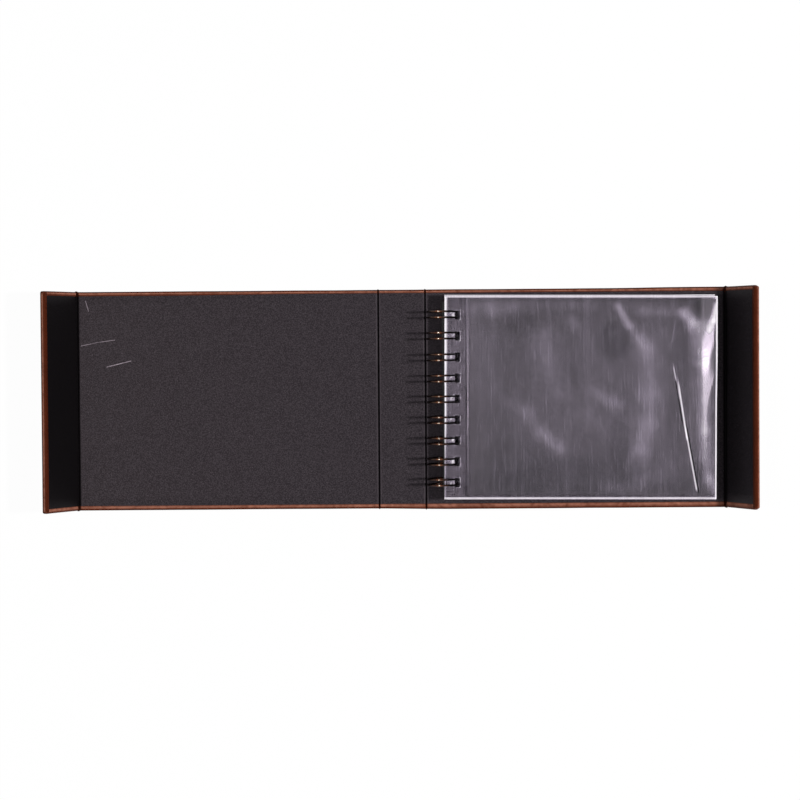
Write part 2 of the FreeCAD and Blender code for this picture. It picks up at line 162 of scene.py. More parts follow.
class AlbumWireSettings(bpy.types.PropertyGroup):
    loops: IntProperty(name="Loops", description="Number of twin loops", min=1, max=40, default=9)
    pitch: FloatProperty(
        name="Pitch", description="Loop to loop", unit="LENGTH", min=0.005, max=0.03,
        default=0.0127)
    spacing: FloatProperty(
        name="Wire spacing", description="The two wires of a loop, middle to middle",
        unit="LENGTH", min=0.001, max=0.008, default=0.0035)
    radius: FloatProperty(
        name="Loop radius", description="To the middle of the wire", unit="LENGTH",
        min=0.003, max=0.03, default=0.0093)
    wire_diameter: FloatProperty(
        name="Wire diameter", description="Diameter of the round wire", unit="LENGTH",
        min=0.0003, max=0.002, default=0.0011)
    lean: FloatProperty(
        name="Lean", description="How far a loop leans along the row, per unit across it",
        min=-0.1, max=0.1, default=0.014)
    bow: FloatProperty(
        name="Bow", description="How far the end loops sit from an even row", unit="LENGTH",
        min=0.0, max=0.002, default=0.0006)
    jitter: FloatProperty(
        name="Jitter", description="Random shift of each loop", unit="LENGTH",
        min=0.0, max=0.001, default=0.00022)
    wire_colour: FloatVectorProperty(
        name="Wire", description="Colour of the bronzed wire", subtype="COLOR",
        size=3, min=0.0, max=1.0, default=(0.036, 0.015, 0.008))


class AlbumLeafSettings(bpy.types.PropertyGroup):
    film_thickness: FloatProperty(
        name="Film", description="Thickness of one film", unit="LENGTH",
        min=0.00005, max=0.0005, default=0.00015)
    wave_height: FloatProperty(
        name="Curl", description="Scales how far the top leaf's fore edge curls up",
        unit="LENGTH", min=0.0, max=0.003, default=0.0013)
    turn: FloatProperty(
        name="Turn", description="How the block of leaves lies turned on its wire",
        subtype="ANGLE", min=-0.02, max=0.02, default=math.radians(-0.42))
    # Haze colour: the whiteness of welds and cut edges and of the painted highlights along them.
    haze_and_glare_colour: FloatVectorProperty(
        name="Film haze", description="Colour of welds and cut edges", subtype="COLOR",
        size=3, min=0.0, max=1.0, default=(0.93, 0.88, 0.94))
    # Bloom colour: the milky marks on the open film, which also stand for painted reflections of
    # its bends.
    bloom_and_reflection_colour: FloatVectorProperty(
        name="Film bloom", description="Colour of the milky marks on the open film",
        subtype="COLOR", size=3, min=0.0, max=1.0, default=(0.88, 0.765, 0.95))
    card_colour: FloatVectorProperty(
        name="Card", description="Colour of the cards in the pockets", subtype="COLOR",
        size=3, min=0.0, max=1.0, default=(0.012, 0.0105, 0.0125))


class AlbumStageSettings(bpy.types.PropertyGroup):
    floor_colour: FloatVectorProperty(
        name="Floor", description="Colour of the table", subtype="COLOR",
        size=3, min=0.0, max=1.0, default=(0.95, 0.95, 0.95))
    around: FloatProperty(
        name="Room light", description="Even light from all around", min=0.0, max=2.0,
        default=0.2)
    left: FloatProperty(
        name="Left light", description="Power of the soft box on the left", subtype="POWER",
        min=0.0, max=500.0, default=5.6)
    right: FloatProperty(
        name="Right light", description="Power of the soft box on the right", subtype="POWER",
        min=0.0, max=500.0, default=97.0)


# ---------------------------------------------------------------- mesh helpers

def smooth_step(t):
    t = min(1.0, max(0.0, t))
    return t*t*(3 - 2*t)


def bell(t):
    return math.exp(-t*t)


def add_object(name, mesh):
    piece = bpy.data.objects.new(name, mesh)
    bpy.context.scene.collection.objects.link(piece)
    return piece


def finish_mesh(mesh, sharp=40.0):
    """Outward faces, smooth shading and sharp edges only where the surface really turns."""
    shape = bmesh.new()
    shape.from_mesh(mesh)
    bmesh.ops.recalc_face_normals(shape, faces=shape.faces)
    shape.to_mesh(mesh)
    shape.free()
    mesh.shade_smooth()
    mesh.set_sharp_from_angle(angle=math.radians(sharp))


def make_piece(name, points, faces, material, values=None, sharp=40.0, turn=None):
    """A mesh object from points in metres; values go with the points as named numbers."""
    mesh = bpy.data.meshes.new(name)
    mesh.from_pydata([tuple(turn @ Vector(p)) if turn else tuple(p) for p in points], [], faces)
    for key, numbers in (values or {}).items():
        mesh.attributes.new(key, "FLOAT", "POINT").data.foreach_set("value", numbers)
    finish_mesh(mesh, sharp)
    mesh.materials.append(material)
    return add_object(name, mesh)


def loft(rings, points, faces):
    """Joins rings of equal length into a closed tube with flat ends."""
    first = len(points)
    count = len(rings[0])
    for ring in rings:
        points.extend(ring)
    for i in range(len(rings) - 1):
        low = first + i*count
        for j in range(count):
            k = (j + 1) % count
            faces.append((low + j, low + k, low + count + k, low + count + j))
    faces.append(tuple(first + j for j in range(count)))
    faces.append(tuple(first + (len(rings) - 1)*count + j for j in reversed(range(count))))


def fixed_mesh(piece):
    """Puts a piece's modifiers into its mesh."""
    depsgraph = bpy.context.evaluated_depsgraph_get()
    mesh = bpy.data.meshes.new_from_object(piece.evaluated_get(depsgraph),
                                           preserve_all_data_layers=True, depsgraph=depsgraph)
    old = piece.data
    piece.modifiers.clear()
    if piece.type == "MESH":
        piece.data = mesh
        bpy.data.meshes.remove(old)
        return piece
    name = piece.name
    bpy.data.objects.remove(piece)
    return add_object(name, mesh)


# ---------------------------------------------------------------- shader helpers

def put(tree, socket, value):
    """Sets a socket, or links it if the value is another socket."""
    if isinstance(value, bpy.types.NodeSocket):
        tree.links.new(value, socket)
    else:
        socket.default_value = value


def new_node(tree, kind, inputs=None, **settings):
    """A node with its settings made and its inputs set or linked."""
    made = tree.nodes.new(kind)
    for key, value in settings.items():
        setattr(made, key, value)
    for key, value in (inputs or {}).items():
        put(tree, made.inputs[key], value)
    return made


class Finish:
    """A material and the few moves that its node tree is built with."""

    def __init__(self, name):
        self.material = bpy.data.materials.new(name)
        self.material.use_nodes = True
        self.tree = self.material.node_tree
        self.tree.nodes.clear()
        self.output = self.tree.nodes.new("ShaderNodeOutputMaterial")

    def node(self, kind, inputs=None, **settings):
        return new_node(self.tree, kind, inputs, **settings)

    def show(self, shader):
        put(self.tree, self.output.inputs["Surface"], shader.outputs[0])

    def place(self):
        return self.node("ShaderNodeTexCoord").outputs["Object"]

    def stretched(self, scale):
        return self.node("ShaderNodeMapping",
                         {"Vector": self.place(), "Scale": scale}).outputs[0]

    def clouds(self, vector, scale, detail=4.0, roughness=0.55):
        return self.node("ShaderNodeTexNoise", {"Vector": vector, "Scale": scale, "Detail": detail,
                                                "Roughness": roughness}).outputs["Fac"]

    def math(self, operation, *values):
        return self.node("ShaderNodeMath", dict(enumerate(values)), operation=operation).outputs[0]

    def span(self, value, low, high, to_low=0.0, to_high=1.0, smooth=False):
        return self.node("ShaderNodeMapRange",
                         {"Value": value, "From Min": low, "From Max": high,
                          "To Min": to_low, "To Max": to_high},
                         interpolation_type="SMOOTHSTEP" if smooth else "LINEAR").outputs[0]

    def mixed(self, factor, one, other):
        return self.node("ShaderNodeMix", {0: factor, 6: one, 7: other},
                         data_type="RGBA").outputs[2]

    def number(self, key):
        return self.node("ShaderNodeAttribute", attribute_name=key).outputs["Fac"]

    def bump(self, height, distance):
        return self.node("ShaderNodeBump", {"Height": height, "Distance": distance,
                                            "Strength": 1.0}).outputs[0]

    def surface(self, **inputs):
        """The shader itself; words with underscores stand for its sockets' names."""
        named = {key.replace("_", " "): value for key, value in inputs.items()}
        self.show(self.node("ShaderNodeBsdfPrincipled", named))

    def line_mark(self, start, end, width):
        """1 on a straight line from start to end, in metres on the XY plane, 0 a width away."""
        made = self.node("ShaderNodeGroup", node_tree=line_group())
        for key, value in (("Place", self.place()), ("Start", (start[0], start[1], 0.0)),
                           ("Line", (end[0] - start[0], end[1] - start[1], 0.0)),
                           ("Width", width)):
            put(self.tree, made.inputs[key], value)
        return made.outputs["Mark"], made.outputs["Along"]


def line_group():
    """A node group that measures how near a place is to a line, seen from above."""
    found = bpy.data.node_groups.get("line_mark")
    if found:
        return found
    tree = bpy.data.node_groups.new("line_mark", "ShaderNodeTree")
    for key, kind in (("Place", "NodeSocketVector"), ("Start", "NodeSocketVector"),
                      ("Line", "NodeSocketVector"), ("Width", "NodeSocketFloat")):
        tree.interface.new_socket(key, in_out="INPUT", socket_type=kind)
    for key in ("Mark", "Along"):
        tree.interface.new_socket(key, in_out="OUTPUT", socket_type="NodeSocketFloat")
    enter = tree.nodes.new("NodeGroupInput").outputs
    leave = tree.nodes.new("NodeGroupOutput")

    def vector(operation, inputs):
        made = new_node(tree, "ShaderNodeVectorMath", inputs, operation=operation)
        return made.outputs["Value" if operation in ("DOT_PRODUCT", "LENGTH") else 0]

    flat = vector("MULTIPLY", {0: enter["Place"], 1: (1.0, 1.0, 0.0)})
    reach = vector("SUBTRACT", {0: flat, 1: enter["Start"]})
    share = new_node(tree, "ShaderNodeMath",
                     {0: vector("DOT_PRODUCT", {0: reach, 1: enter["Line"]}),
                      1: vector("DOT_PRODUCT", {0: enter["Line"], 1: enter["Line"]})},
                     operation="DIVIDE", use_clamp=True).outputs[0]
    nearest = vector("SCALE", {0: enter["Line"], "Scale": share})
    away = vector("LENGTH", {0: vector("SUBTRACT", {0: reach, 1: nearest})})
    fade = new_node(tree, "ShaderNodeMapRange",
                    {"Value": away, "From Max": enter["Width"], "To Min": 1.0, "To Max": 0.0},
                    interpolation_type="SMOOTHSTEP").outputs[0]
    put(tree, leave.inputs["Mark"], fade)
    put(tree, leave.inputs["Along"], share)
    return tree


FINISHES = {}


def finish(name):
    """The named material, made once."""
    if name not in FINISHES:
        FINISHES[name] = FINISH_MAKERS[name]()
    return FINISHES[name]


# ---------------------------------------------------------------- finishes

def shade(colour, factor):
    return tuple(min(1.0, c*factor) for c in colour) + (1.0,)


def make_leather():
    """Fine-grained leather: its tone attribute lightens rubbed edges with a painted highlight
    above 0 and paints shade below 0.
    """
    cover = bpy.context.scene.album_cover
    base = cover.leather_colour
    f = Finish("wrapped_leather")
    place = f.place()
    drift = f.clouds(place, 70.0, 5.0)
    wrinkle = f.clouds(place, 520.0, 6.0, 0.6)
    pebble = f.node("ShaderNodeTexVoronoi", {"Vector": place, "Scale": 1500.0, "Smoothness": 0.6},
                    feature="SMOOTH_F1").outputs["Distance"]
    tone = f.number("tone")
    # Where tone is above 0: rubbed edges, lightened further by a painted highlight where the rolls
    # face the light.
    rub_and_lighting = f.math("MULTIPLY", f.span(tone, 0.0, 1.0),
                    f.span(f.clouds(place, 300.0), 0.3, 0.6, 0.4, 1.0))
    # Where tone is below 0: painted shade, near black, in fold grooves, on rolls turned from the
    # light and along the mitres.
    painted_shade = f.span(tone, 0.0, -1.0, 0.0, 0.9)
    colour = f.mixed(f.span(drift, 0.3, 0.7), shade(base, 0.78), shade(base, 1.28))
    colour = f.mixed(f.span(pebble, 0.25, 0.75, 0.0, 0.55), colour, shade(base, 0.5))
    colour = f.mixed(rub_and_lighting, colour, (*cover.worn_and_sheen_colour, 1.0))
    colour = f.mixed(painted_shade, colour, shade(base, 0.08))
    height = f.math("ADD", f.math("MULTIPLY", pebble, -0.6), wrinkle)
    f.surface(Base_Color=colour, Roughness=f.span(wrinkle, 0.3, 0.7, 0.40, 0.56),
              Specular_IOR_Level=0.12, Specular_Tint=(1.0, 0.5, 0.3, 1.0),
              Normal=f.bump(height, 0.00011))
    return f.material


# the lining's scuffs: start and end from the middle of the front cover's outer edge, width and
# strength
SCUFFS = [
    ((0.0030, 0.0615), (0.0048, 0.0552), 0.00032, 0.45),
    ((0.0000, 0.0340), (0.0104, 0.0361), 0.00028, 0.5),
    ((0.0104, 0.0361), (0.0208, 0.0375), 0.00028, 0.5),
    ((0.0157, 0.0210), (0.0231, 0.0228), 0.00034, 0.75),
    ((0.0231, 0.0228), (0.0305, 0.0246), 0.00034, 0.7),
]


def make_lining():
    """Black lining paper with a fibrous tooth, a slight drift of tone and a few scuffs; its tone
    attribute paints a highlight above 0 and shade below 0.
    """
    cover = bpy.context.scene.album_cover
    f = Finish("lining_paper")
    place = f.place()
    fibres = f.clouds(f.stretched((700.0, 1900.0, 900.0)), 1.0, 5.0, 0.65)
    tooth = f.clouds(place, 1900.0, 2.0, 0.5)
    speck = f.clouds(place, 1250.0, 1.0, 0.5)
    mottle = f.clouds(place, 150.0, 4.0)
    drift = f.clouds(place, 16.0, 2.0)
    across = f.node("ShaderNodeSeparateXYZ", {"Vector": place}).outputs["X"]
    red, green, blue = base = cover.lining_colour
    colour = f.mixed(f.span(across, -0.2, 0.05), (1.12*red, green, 0.94*blue, 1.0),
                     (red, 0.97*green, 1.1*blue, 1.0))
    colour = f.mixed(f.span(mottle, 0.25, 0.75, 0.0, 0.6), colour, shade(base, 1.5))
    colour = f.mixed(f.span(tooth, 0.45, 0.62, 0.0, 0.8), colour, shade(base, 2.05))
    colour = f.mixed(f.span(tooth, 0.54, 0.40, 0.0, 0.8), colour, shade(base, 0.64))
    colour = f.mixed(f.span(speck, 0.69, 0.76, 0.0, 0.8), colour, shade(base, 4.6))
    scuffs = 0.0
    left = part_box("front_cover_lining")[0].x
    for start, end, width, strength in SCUFFS:
        mark = f.line_mark((left + start[0], start[1]), (left + end[0], end[1]), width)[0]
        mark = f.math("MULTIPLY", f.math("MULTIPLY", mark, strength), f.span(fibres, 0.3, 0.55))
        scuffs = f.math("MAXIMUM", scuffs, mark)
    colour = f.mixed(scuffs, colour, shade(base, 26.0))
    height = f.math("ADD", fibres, f.math("MULTIPLY", tooth, 0.5))
    rough = f.math("ADD", f.span(drift, 0.3, 0.7, 0.44, 0.5),
                   f.span(fibres, 0.3, 0.7, -0.03, 0.05))
    tone = f.number("tone")
    # Tone above 0: painted highlight on a groove's rolled edges; below 0: painted shade in
    # grooves, on the standing flaps and underneath.
    colour = f.mixed(f.span(tone, 0.0, 1.0), colour, shade(base, 2.6))
    colour = f.mixed(f.span(tone, 0.0, -1.0), colour, shade(base, 0.06))
    f.surface(Base_Color=colour, Roughness=rough, Specular_IOR_Level=0.08,
              Specular_Tint=(1.0, 0.86, 0.97, 1.0), Normal=f.bump(height, 0.00003))
    return f.material


def make_card(name, colour, roughness):
    """Dense black card: short fibres, a faint calender streak and a dull sheen."""
    f = Finish(name)
    place = f.place()
    fibres = f.clouds(f.stretched((1700.0, 800.0, 900.0)), 1.0, 4.0, 0.6)
    speck = f.clouds(place, 2200.0, 2.0, 0.5)
    tone = f.mixed(f.span(f.clouds(place, 60.0), 0.3, 0.7), shade(colour, 0.85),
                   shade(colour, 1.25))
    tone = f.mixed(f.span(speck, 0.55, 0.8, 0.0, 0.6), tone, shade(colour, 3.0))
    f.surface(Base_Color=tone, Roughness=f.span(fibres, 0.3, 0.7, roughness - 0.05,
                                                roughness + 0.08),
              Specular_IOR_Level=0.35, Normal=f.bump(fibres, 0.00004))
    return f.material


def make_greyboard():
    """Pulp board, grey-brown with flecks of fibre."""
    f = Finish("pulp_board")
    place = f.place()
    pulp = f.clouds(place, 900.0, 5.0, 0.65)
    fleck = f.node("ShaderNodeTexVoronoi", {"Vector": f.stretched((500.0, 900.0, 1400.0)),
                                            "Scale": 1.0}).outputs["Distance"]
    colour = f.mixed(f.span(pulp, 0.3, 0.7), (0.17, 0.15, 0.125, 1.0), (0.27, 0.245, 0.21, 1.0))
    colour = f.mixed(f.span(fleck, 0.0, 0.12, 0.7, 0.0), colour, (0.06, 0.052, 0.045, 1.0))
    f.surface(Base_Color=colour, Roughness=f.span(pulp, 0.3, 0.7, 0.82, 0.95),
              Specular_IOR_Level=0.2, Normal=f.bump(pulp, 0.00012))
    return f.material


def make_plated(name, colour, grain):
    """Plated or rolled metal with a drawn grain and dull patches."""
    f = Finish(name)
    drawn = f.clouds(f.stretched(grain), 1.0, 4.0, 0.6)
    patch = f.clouds(f.place(), 420.0, 3.0)
    tone = f.mixed(f.span(patch, 0.35, 0.7), shade(colour, 0.8), shade(colour, 1.1))
    f.surface(Base_Color=tone, Metallic=1.0, Roughness=f.span(drawn, 0.3, 0.7, 0.2, 0.38),
              Normal=f.bump(drawn, 0.00002))
    return f.material


def make_wire():
    """Bronzed wire with painted shade, near black towards the leaves and at its roots, and a
    painted glint by its crown.
    """
    wire = bpy.context.scene.album_wire
    f = Finish("bronzed_wire")
    place = f.place()
    axes = f.node("ShaderNodeSeparateXYZ", {"Vector": place})
    tarnish = f.clouds(place, 380.0, 4.0, 0.6)
    drift = f.clouds(place, 75.0, 2.0)
    scratch = f.clouds(f.stretched((300.0, 3200.0, 300.0)), 1.0, 3.0, 0.6)
    # Painted shade: the coating turns near black on the side towards the leaves and at the roots,
    # and its coat fades there.
    edge = f.math("ADD", axes.outputs["X"], f.span(tarnish, 0.3, 0.7, -0.0006, 0.0006))
    inner = f.span(edge, WIRE_AXIS.x + 0.0016, WIRE_AXIS.x + 0.0034, smooth=True)
    outer = f.span(edge, WIRE_AXIS.x - 0.0068, WIRE_AXIS.x - 0.0086, smooth=True)
    painted_dark = f.math("MAXIMUM", inner, f.math("MULTIPLY", outer, 0.8))
    colour = f.mixed(f.span(drift, 0.35, 0.65), shade(wire.wire_colour, 1.15),
                     (wire.wire_colour[0]*0.95, wire.wire_colour[1]*0.62,
                      wire.wire_colour[2]*0.62, 1.0))
    colour = f.mixed(f.span(tarnish, 0.5, 0.75, 0.0, 0.7), colour, shade(wire.wire_colour, 0.35))
    colour = f.mixed(painted_dark, colour, (0.005, 0.004, 0.004, 1.0))
    # Painted highlight by the crown: a warm copper band and a pale glint where the left light
    # shines back.
    from_crown = f.math("ABSOLUTE", f.math("SUBTRACT", axes.outputs["X"], WIRE_AXIS.x - 0.0025))
    painted_glint = f.math("MULTIPLY", f.span(from_crown, 0.0007, 0.0002, smooth=True),
                  f.span(tarnish, 0.35, 0.55))
    painted_warm_sheen = f.math("MULTIPLY", f.span(from_crown, 0.0026, 0.0006, smooth=True),
                  f.span(tarnish, 0.35, 0.6, 0.2, 1.0))
    colour = f.mixed(painted_warm_sheen, colour, (0.16, 0.050, 0.016, 1.0))
    colour = f.mixed(painted_glint, colour, (0.46, 0.38, 0.32, 1.0))
    rough = f.math("ADD", f.span(tarnish, 0.3, 0.7, 0.16, 0.3), f.math("MULTIPLY", painted_dark, 0.25))
    coat = f.math("SUBTRACT", 0.3, f.math("MULTIPLY", painted_dark, 0.3))
    f.surface(Base_Color=colour, Metallic=1.0, Roughness=rough, Coat_Weight=coat,
              Coat_Roughness=0.12, Normal=f.bump(scratch, 0.00002))
    return f.material


# the top film's creases: start and end from the middle of the binding edge, width, whiteness, a
# painted highlight along the crease (below 0 for a dull hollow without reflection) and height
CREASES = [
    ((0.1382, 0.0220), (0.1424, -0.0011), 0.00050, 0.50, 0.00004),
    ((0.1409, 0.0142), (0.1473, -0.0265), 0.00082, 0.75, 0.00006),
    ((0.1452, -0.0131), (0.1533, -0.0575), 0.00082, 0.62, 0.00006),
    ((0.1398, 0.0125), (0.1444, -0.0160), 0.00050, -2.0, 0.0),
    ((0.1461, -0.0140), (0.1545, -0.0582), 0.00055, -1.2, 0.0),
    ((0.1402, 0.0490), (0.1376, 0.0330), 0.00030, 0.10, 0.00002),
]


def make_film(top=False):
    """Clear film: mirror-like, streaked along its draw, white where it is welded or cut; its haze
    attribute also carries painted highlights and reflections.
    """
    leaf = bpy.context.scene.album_leaf
    f = Finish("top_film" if top else "clear_film")
    place = f.place()
    haze_and_glare = f.number("haze_and_glare")
    broken = f.clouds(f.stretched((330.0, 120.0, 100.0)), 1.0, 3.0, 0.55)
    lines = f.node("ShaderNodeTexWave", {"Vector": f.stretched((1.0, 0.14, 1.0)), "Scale": 190.0,
                                         "Distortion": 7.0, "Detail": 3.0, "Detail Scale": 1.2},
                   bands_direction="X").outputs["Fac"]
    weft = f.node("ShaderNodeTexWave", {"Vector": f.stretched((0.3, 1.0, 1.0)), "Scale": 190.0,
                                        "Distortion": 5.0, "Detail": 2.0},
                  bands_direction="Y").outputs["Fac"]
    streak = f.math("MULTIPLY", f.span(lines, 0.3, 1.0), f.span(broken, 0.42, 0.68))
    long_streak = f.clouds(f.stretched((420.0, 12.0, 100.0)), 1.0, 4.0, 0.6)
    broad = f.clouds(f.stretched((60.0, 22.0, 100.0)), 1.0, 3.0, 0.5)
    dust = f.clouds(place, 2600.0, 2.0, 0.5)
    milky = f.math("MULTIPLY", f.span(haze_and_glare, 0.03, 0.08, 0.4, 1.0),
                   f.span(broad, 0.35, 0.65, 0.75, 1.0))
    fine = f.math("ADD", f.math("MULTIPLY", streak, 0.13), f.math("MULTIPLY", weft, 0.015))
    soft = f.math("ADD", fine, f.span(long_streak, 0.5, 0.72, 0.0, 0.05))
    soft = f.math("ADD", f.math("MULTIPLY", soft, milky), f.span(dust, 0.70, 0.8, 0.0, 0.03))
    height = f.math("MULTIPLY", streak, 0.000004)
    if top:
        hollow = 0.0
        for start, end, width, strength, raised in CREASES:
            mark, along = f.line_mark(leaf_place(*start), leaf_place(*end), width)
            fade = f.math("MULTIPLY", f.span(along, 0.0, 0.25, smooth=True),
                          f.span(along, 1.0, 0.93, smooth=True))
            mark = f.math("MULTIPLY", mark, fade)
            if strength < 0:
                hollow = f.math("MAXIMUM", hollow, mark)
            soft = f.math("ADD", soft, f.math("MULTIPLY", mark, strength))
            height = f.math("ADD", height, f.math("MULTIPLY", mark, raised))
    normal = f.bump(height, 1.0)
    haze_and_glare = f.node("ShaderNodeMath", {0: haze_and_glare, 1: soft}, operation="ADD", use_clamp=True).outputs[0]
    clear = f.node("ShaderNodeBsdfTransparent", {"Color": (0.975, 0.975, 0.98, 1.0)})
    mirror = f.node("ShaderNodeFresnel", {"IOR": 1.53, "Normal": normal}).outputs[0]
    tint = f.mixed(f.span(mirror, 0.05, 0.15), (0.98, 0.84, 1.0, 1.0), (0.97, 0.93, 1.0, 1.0))
    gloss = f.node("ShaderNodeBsdfGlossy", {"Color": tint, "Roughness": 0.16, "Normal": normal})
    wetted = f.math("MULTIPLY", f.math("SUBTRACT", 1.0, f.number("gloss")), 0.0435)
    if top:
        wetted = f.math("ADD", wetted, f.math("MULTIPLY", hollow, 0.05))
    mirror = f.math("MAXIMUM", f.math("SUBTRACT", mirror, wetted), 0.0)
    sheet = f.node("ShaderNodeMixShader", {0: mirror, 1: clear.outputs[0], 2: gloss.outputs[0]})
    # White from the haze attribute: milky welds and marks, with painted highlights and
    # reflections.
    white = f.mixed(f.span(haze_and_glare, 0.15, 0.5), (*leaf.bloom_and_reflection_colour, 1.0),
                    (*leaf.haze_and_glare_colour, 1.0))
    haze_and_glare_shader = f.node("ShaderNodeBsdfPrincipled",
                    {"Base Color": white, "Roughness": 0.3, "Normal": normal})
    f.show(f.node("ShaderNodeMixShader", {0: haze_and_glare, 1: sheet.outputs[0], 2: haze_and_glare_shader.outputs[0]}))
    return f.material


FINISH_MAKERS = {
    "leather": make_leather,
    "lining": make_lining,
    "greyboard": make_greyboard,
    "wire": make_wire,
    "film": make_film,
    "top_film": lambda: make_film(top=True),
    "pocket_card": lambda: make_card("pocket_card", bpy.context.scene.album_leaf.card_colour, 0.5),
    "carrier_card": lambda: make_card("carrier_card", (0.0085, 0.0088, 0.0092), 0.55),
    "magnet": lambda: make_plated("plated_magnet", (0.62, 0.61, 0.58), (900.0, 60.0, 900.0)),
    "keeper": lambda: make_plated("rolled_steel", (0.42, 0.42, 0.43), (1200.0, 40.0, 1200.0)),
}


# ---------------------------------------------------------------- cover

def edge_drift(x, side):
    """How far a wrapped edge strays from straight."""
    waver = 0.00007*noise.noise(Vector((x*38.0, side*5.0, 1.7)))
    if side < 0:
        return waver + 0.0006*smooth_step((x + 0.02)/0.05)
    return waver + 0.0004*smooth_step((x - 0.12)/0.06)


# tone of the turned-in leather, from under the lining over the board's edge to its side: above 0
# rubbing with a painted highlight, below 0 painted shade
HEAD_WEAR_AND_LIGHTING = (0.0, 0.1, 0.8, 1.15, 0.35, -0.25, -0.35, -0.3, -0.2, -0.1)
FOOT_WEAR_AND_LIGHTING = (-0.2, 0.95, 0.65, 0.25, 0.05, -0.1, -0.25, -0.3, -0.2, -0.1)
# tone of a flap's free end, from its outer and from its inner edge to the middle: above 0 rubbing
# with a painted highlight, below 0 painted shade
END_WEAR_AND_LIGHTING = {"front_flap": ((-0.2, 0.4, 1.25), (0.0, 0.9, 1.25)),
              "back_flap": ((0.75, 0.45, 0.0), (-0.3, -0.15, 0.0))}


def wrap_section(x, low, high, half):
    """The covering cut across, from its turned edge at the foot round to the one at the head.

    Gives the points and each one's tone: rubbing with a painted highlight, or painted shade."""
    cover = bpy.context.scene.album_cover
    skin = cover.leather_thickness
    skived = skin*0.62
    radius = min(cover.edge_roundness, (high - low)*0.42)
    tucked = half - TURN_IN - LAP
    outer = []
    for side in (-1.0, 1.0):
        rim = half + edge_drift(x, side)
        rub_and_lighting = HEAD_WEAR_AND_LIGHTING if side > 0 else FOOT_WEAR_AND_LIGHTING
        patchy = 1.0 + 0.35*noise.noise(Vector((x*55.0, side*3.0, 6.2)))
        arc = [(tucked, high - 0.0002, rub_and_lighting[0]),
               (half - TURN_IN + 0.00012, high, rub_and_lighting[1]*patchy),
               (half - TURN_IN*0.62, high + 0.00004, rub_and_lighting[2]*patchy)]
        for step in range(7):
            angle = math.radians(90.0 - 15.0*step)
            arc.append((rim - radius + radius*math.cos(angle),
                        high - radius + radius*math.sin(angle), rub_and_lighting[3 + step]*patchy))
        for step in range(7):
            angle = math.radians(-15.0*step)
            arc.append((rim - radius + radius*math.cos(angle),
                        low + radius + radius*math.sin(angle), 0.05 + 0.12*min(step, 6 - step)))
        outer.append([(side*y, z, wear_and_lighting) for y, z, wear_and_lighting in arc])
    bottom = [(half*k/5.0, low, 0.0) for k in range(-4, 5)]
    wall = half - skin
    inner = [(tucked, high - skived), (wall, high - skived), (wall, low + skin)]
    inner += [(half*k/5.0, low + skin) for k in range(4, -5, -1)]
    inner += [(-wall, low + skin), (-wall, high - skived), (-tucked, high - skived)]
    path = outer[0] + bottom + outer[1][::-1] + [(y, z, 0.0) for y, z in inner]
    return [(x, y, z) for y, z, wear_and_lighting in path], [wear_and_lighting for y, z, wear_and_lighting in path]


def stations(start, end, step):
    count = max(2, int(abs(end - start)/step))
    return [start + (end - start)*i/count for i in range(count + 1)]


def wrapped_panel(name, start, end, body, matrix=None, closed_end=False):
    """Leather round one board; a flap's free end is wrapped too, with mitred corners."""
    cover = bpy.context.scene.album_cover
    points, faces, wear_and_lighting = [], [], []
    way = 1.0 if end > start else -1.0
    stop = end - way*TURN_IN if closed_end else end
    rings = []
    for x in stations(start, stop, 0.004):
        ring, ring_wear_and_lighting = wrap_section(x, 0.0, LEATHER_TOP, HALF)
        rings.append(ring)
        wear_and_lighting.extend(ring_wear_and_lighting)
    loft(rings, points, faces)
    if closed_end:
        rings = []
        radius = cover.edge_roundness
        depths = [TURN_IN*(1.0 - k/5.0) for k in range(5)]
        depths = [d for d in depths if d > radius]
        depths += [radius*(1.0 - math.sin(math.radians(15.0*k))) for k in range(7)]
        insets = [0.0 if depth >= radius
                  else radius - math.sqrt(max(0.0, radius**2 - (radius - depth)**2))
                  for depth in depths]
        depths += [0.0, 0.0]
        insets += [radius + (LEATHER_TOP/2 - radius)*share for share in (0.45, 0.9)]
        for depth, inset in zip(depths, insets):
            ring, ring_wear_and_lighting = end_section(end - way*depth, inset, depth, END_WEAR_AND_LIGHTING[body])
            rings.append(ring)
            wear_and_lighting.extend(ring_wear_and_lighting)
        loft(rings, points, faces)
    # tone: rubbing, painted highlights and painted shade along the wraps
    piece = make_piece(name, points, faces, finish("leather"), {"tone": wear_and_lighting}, 38.0, matrix)
    return dress(piece, body, "covering", body + "_covering")


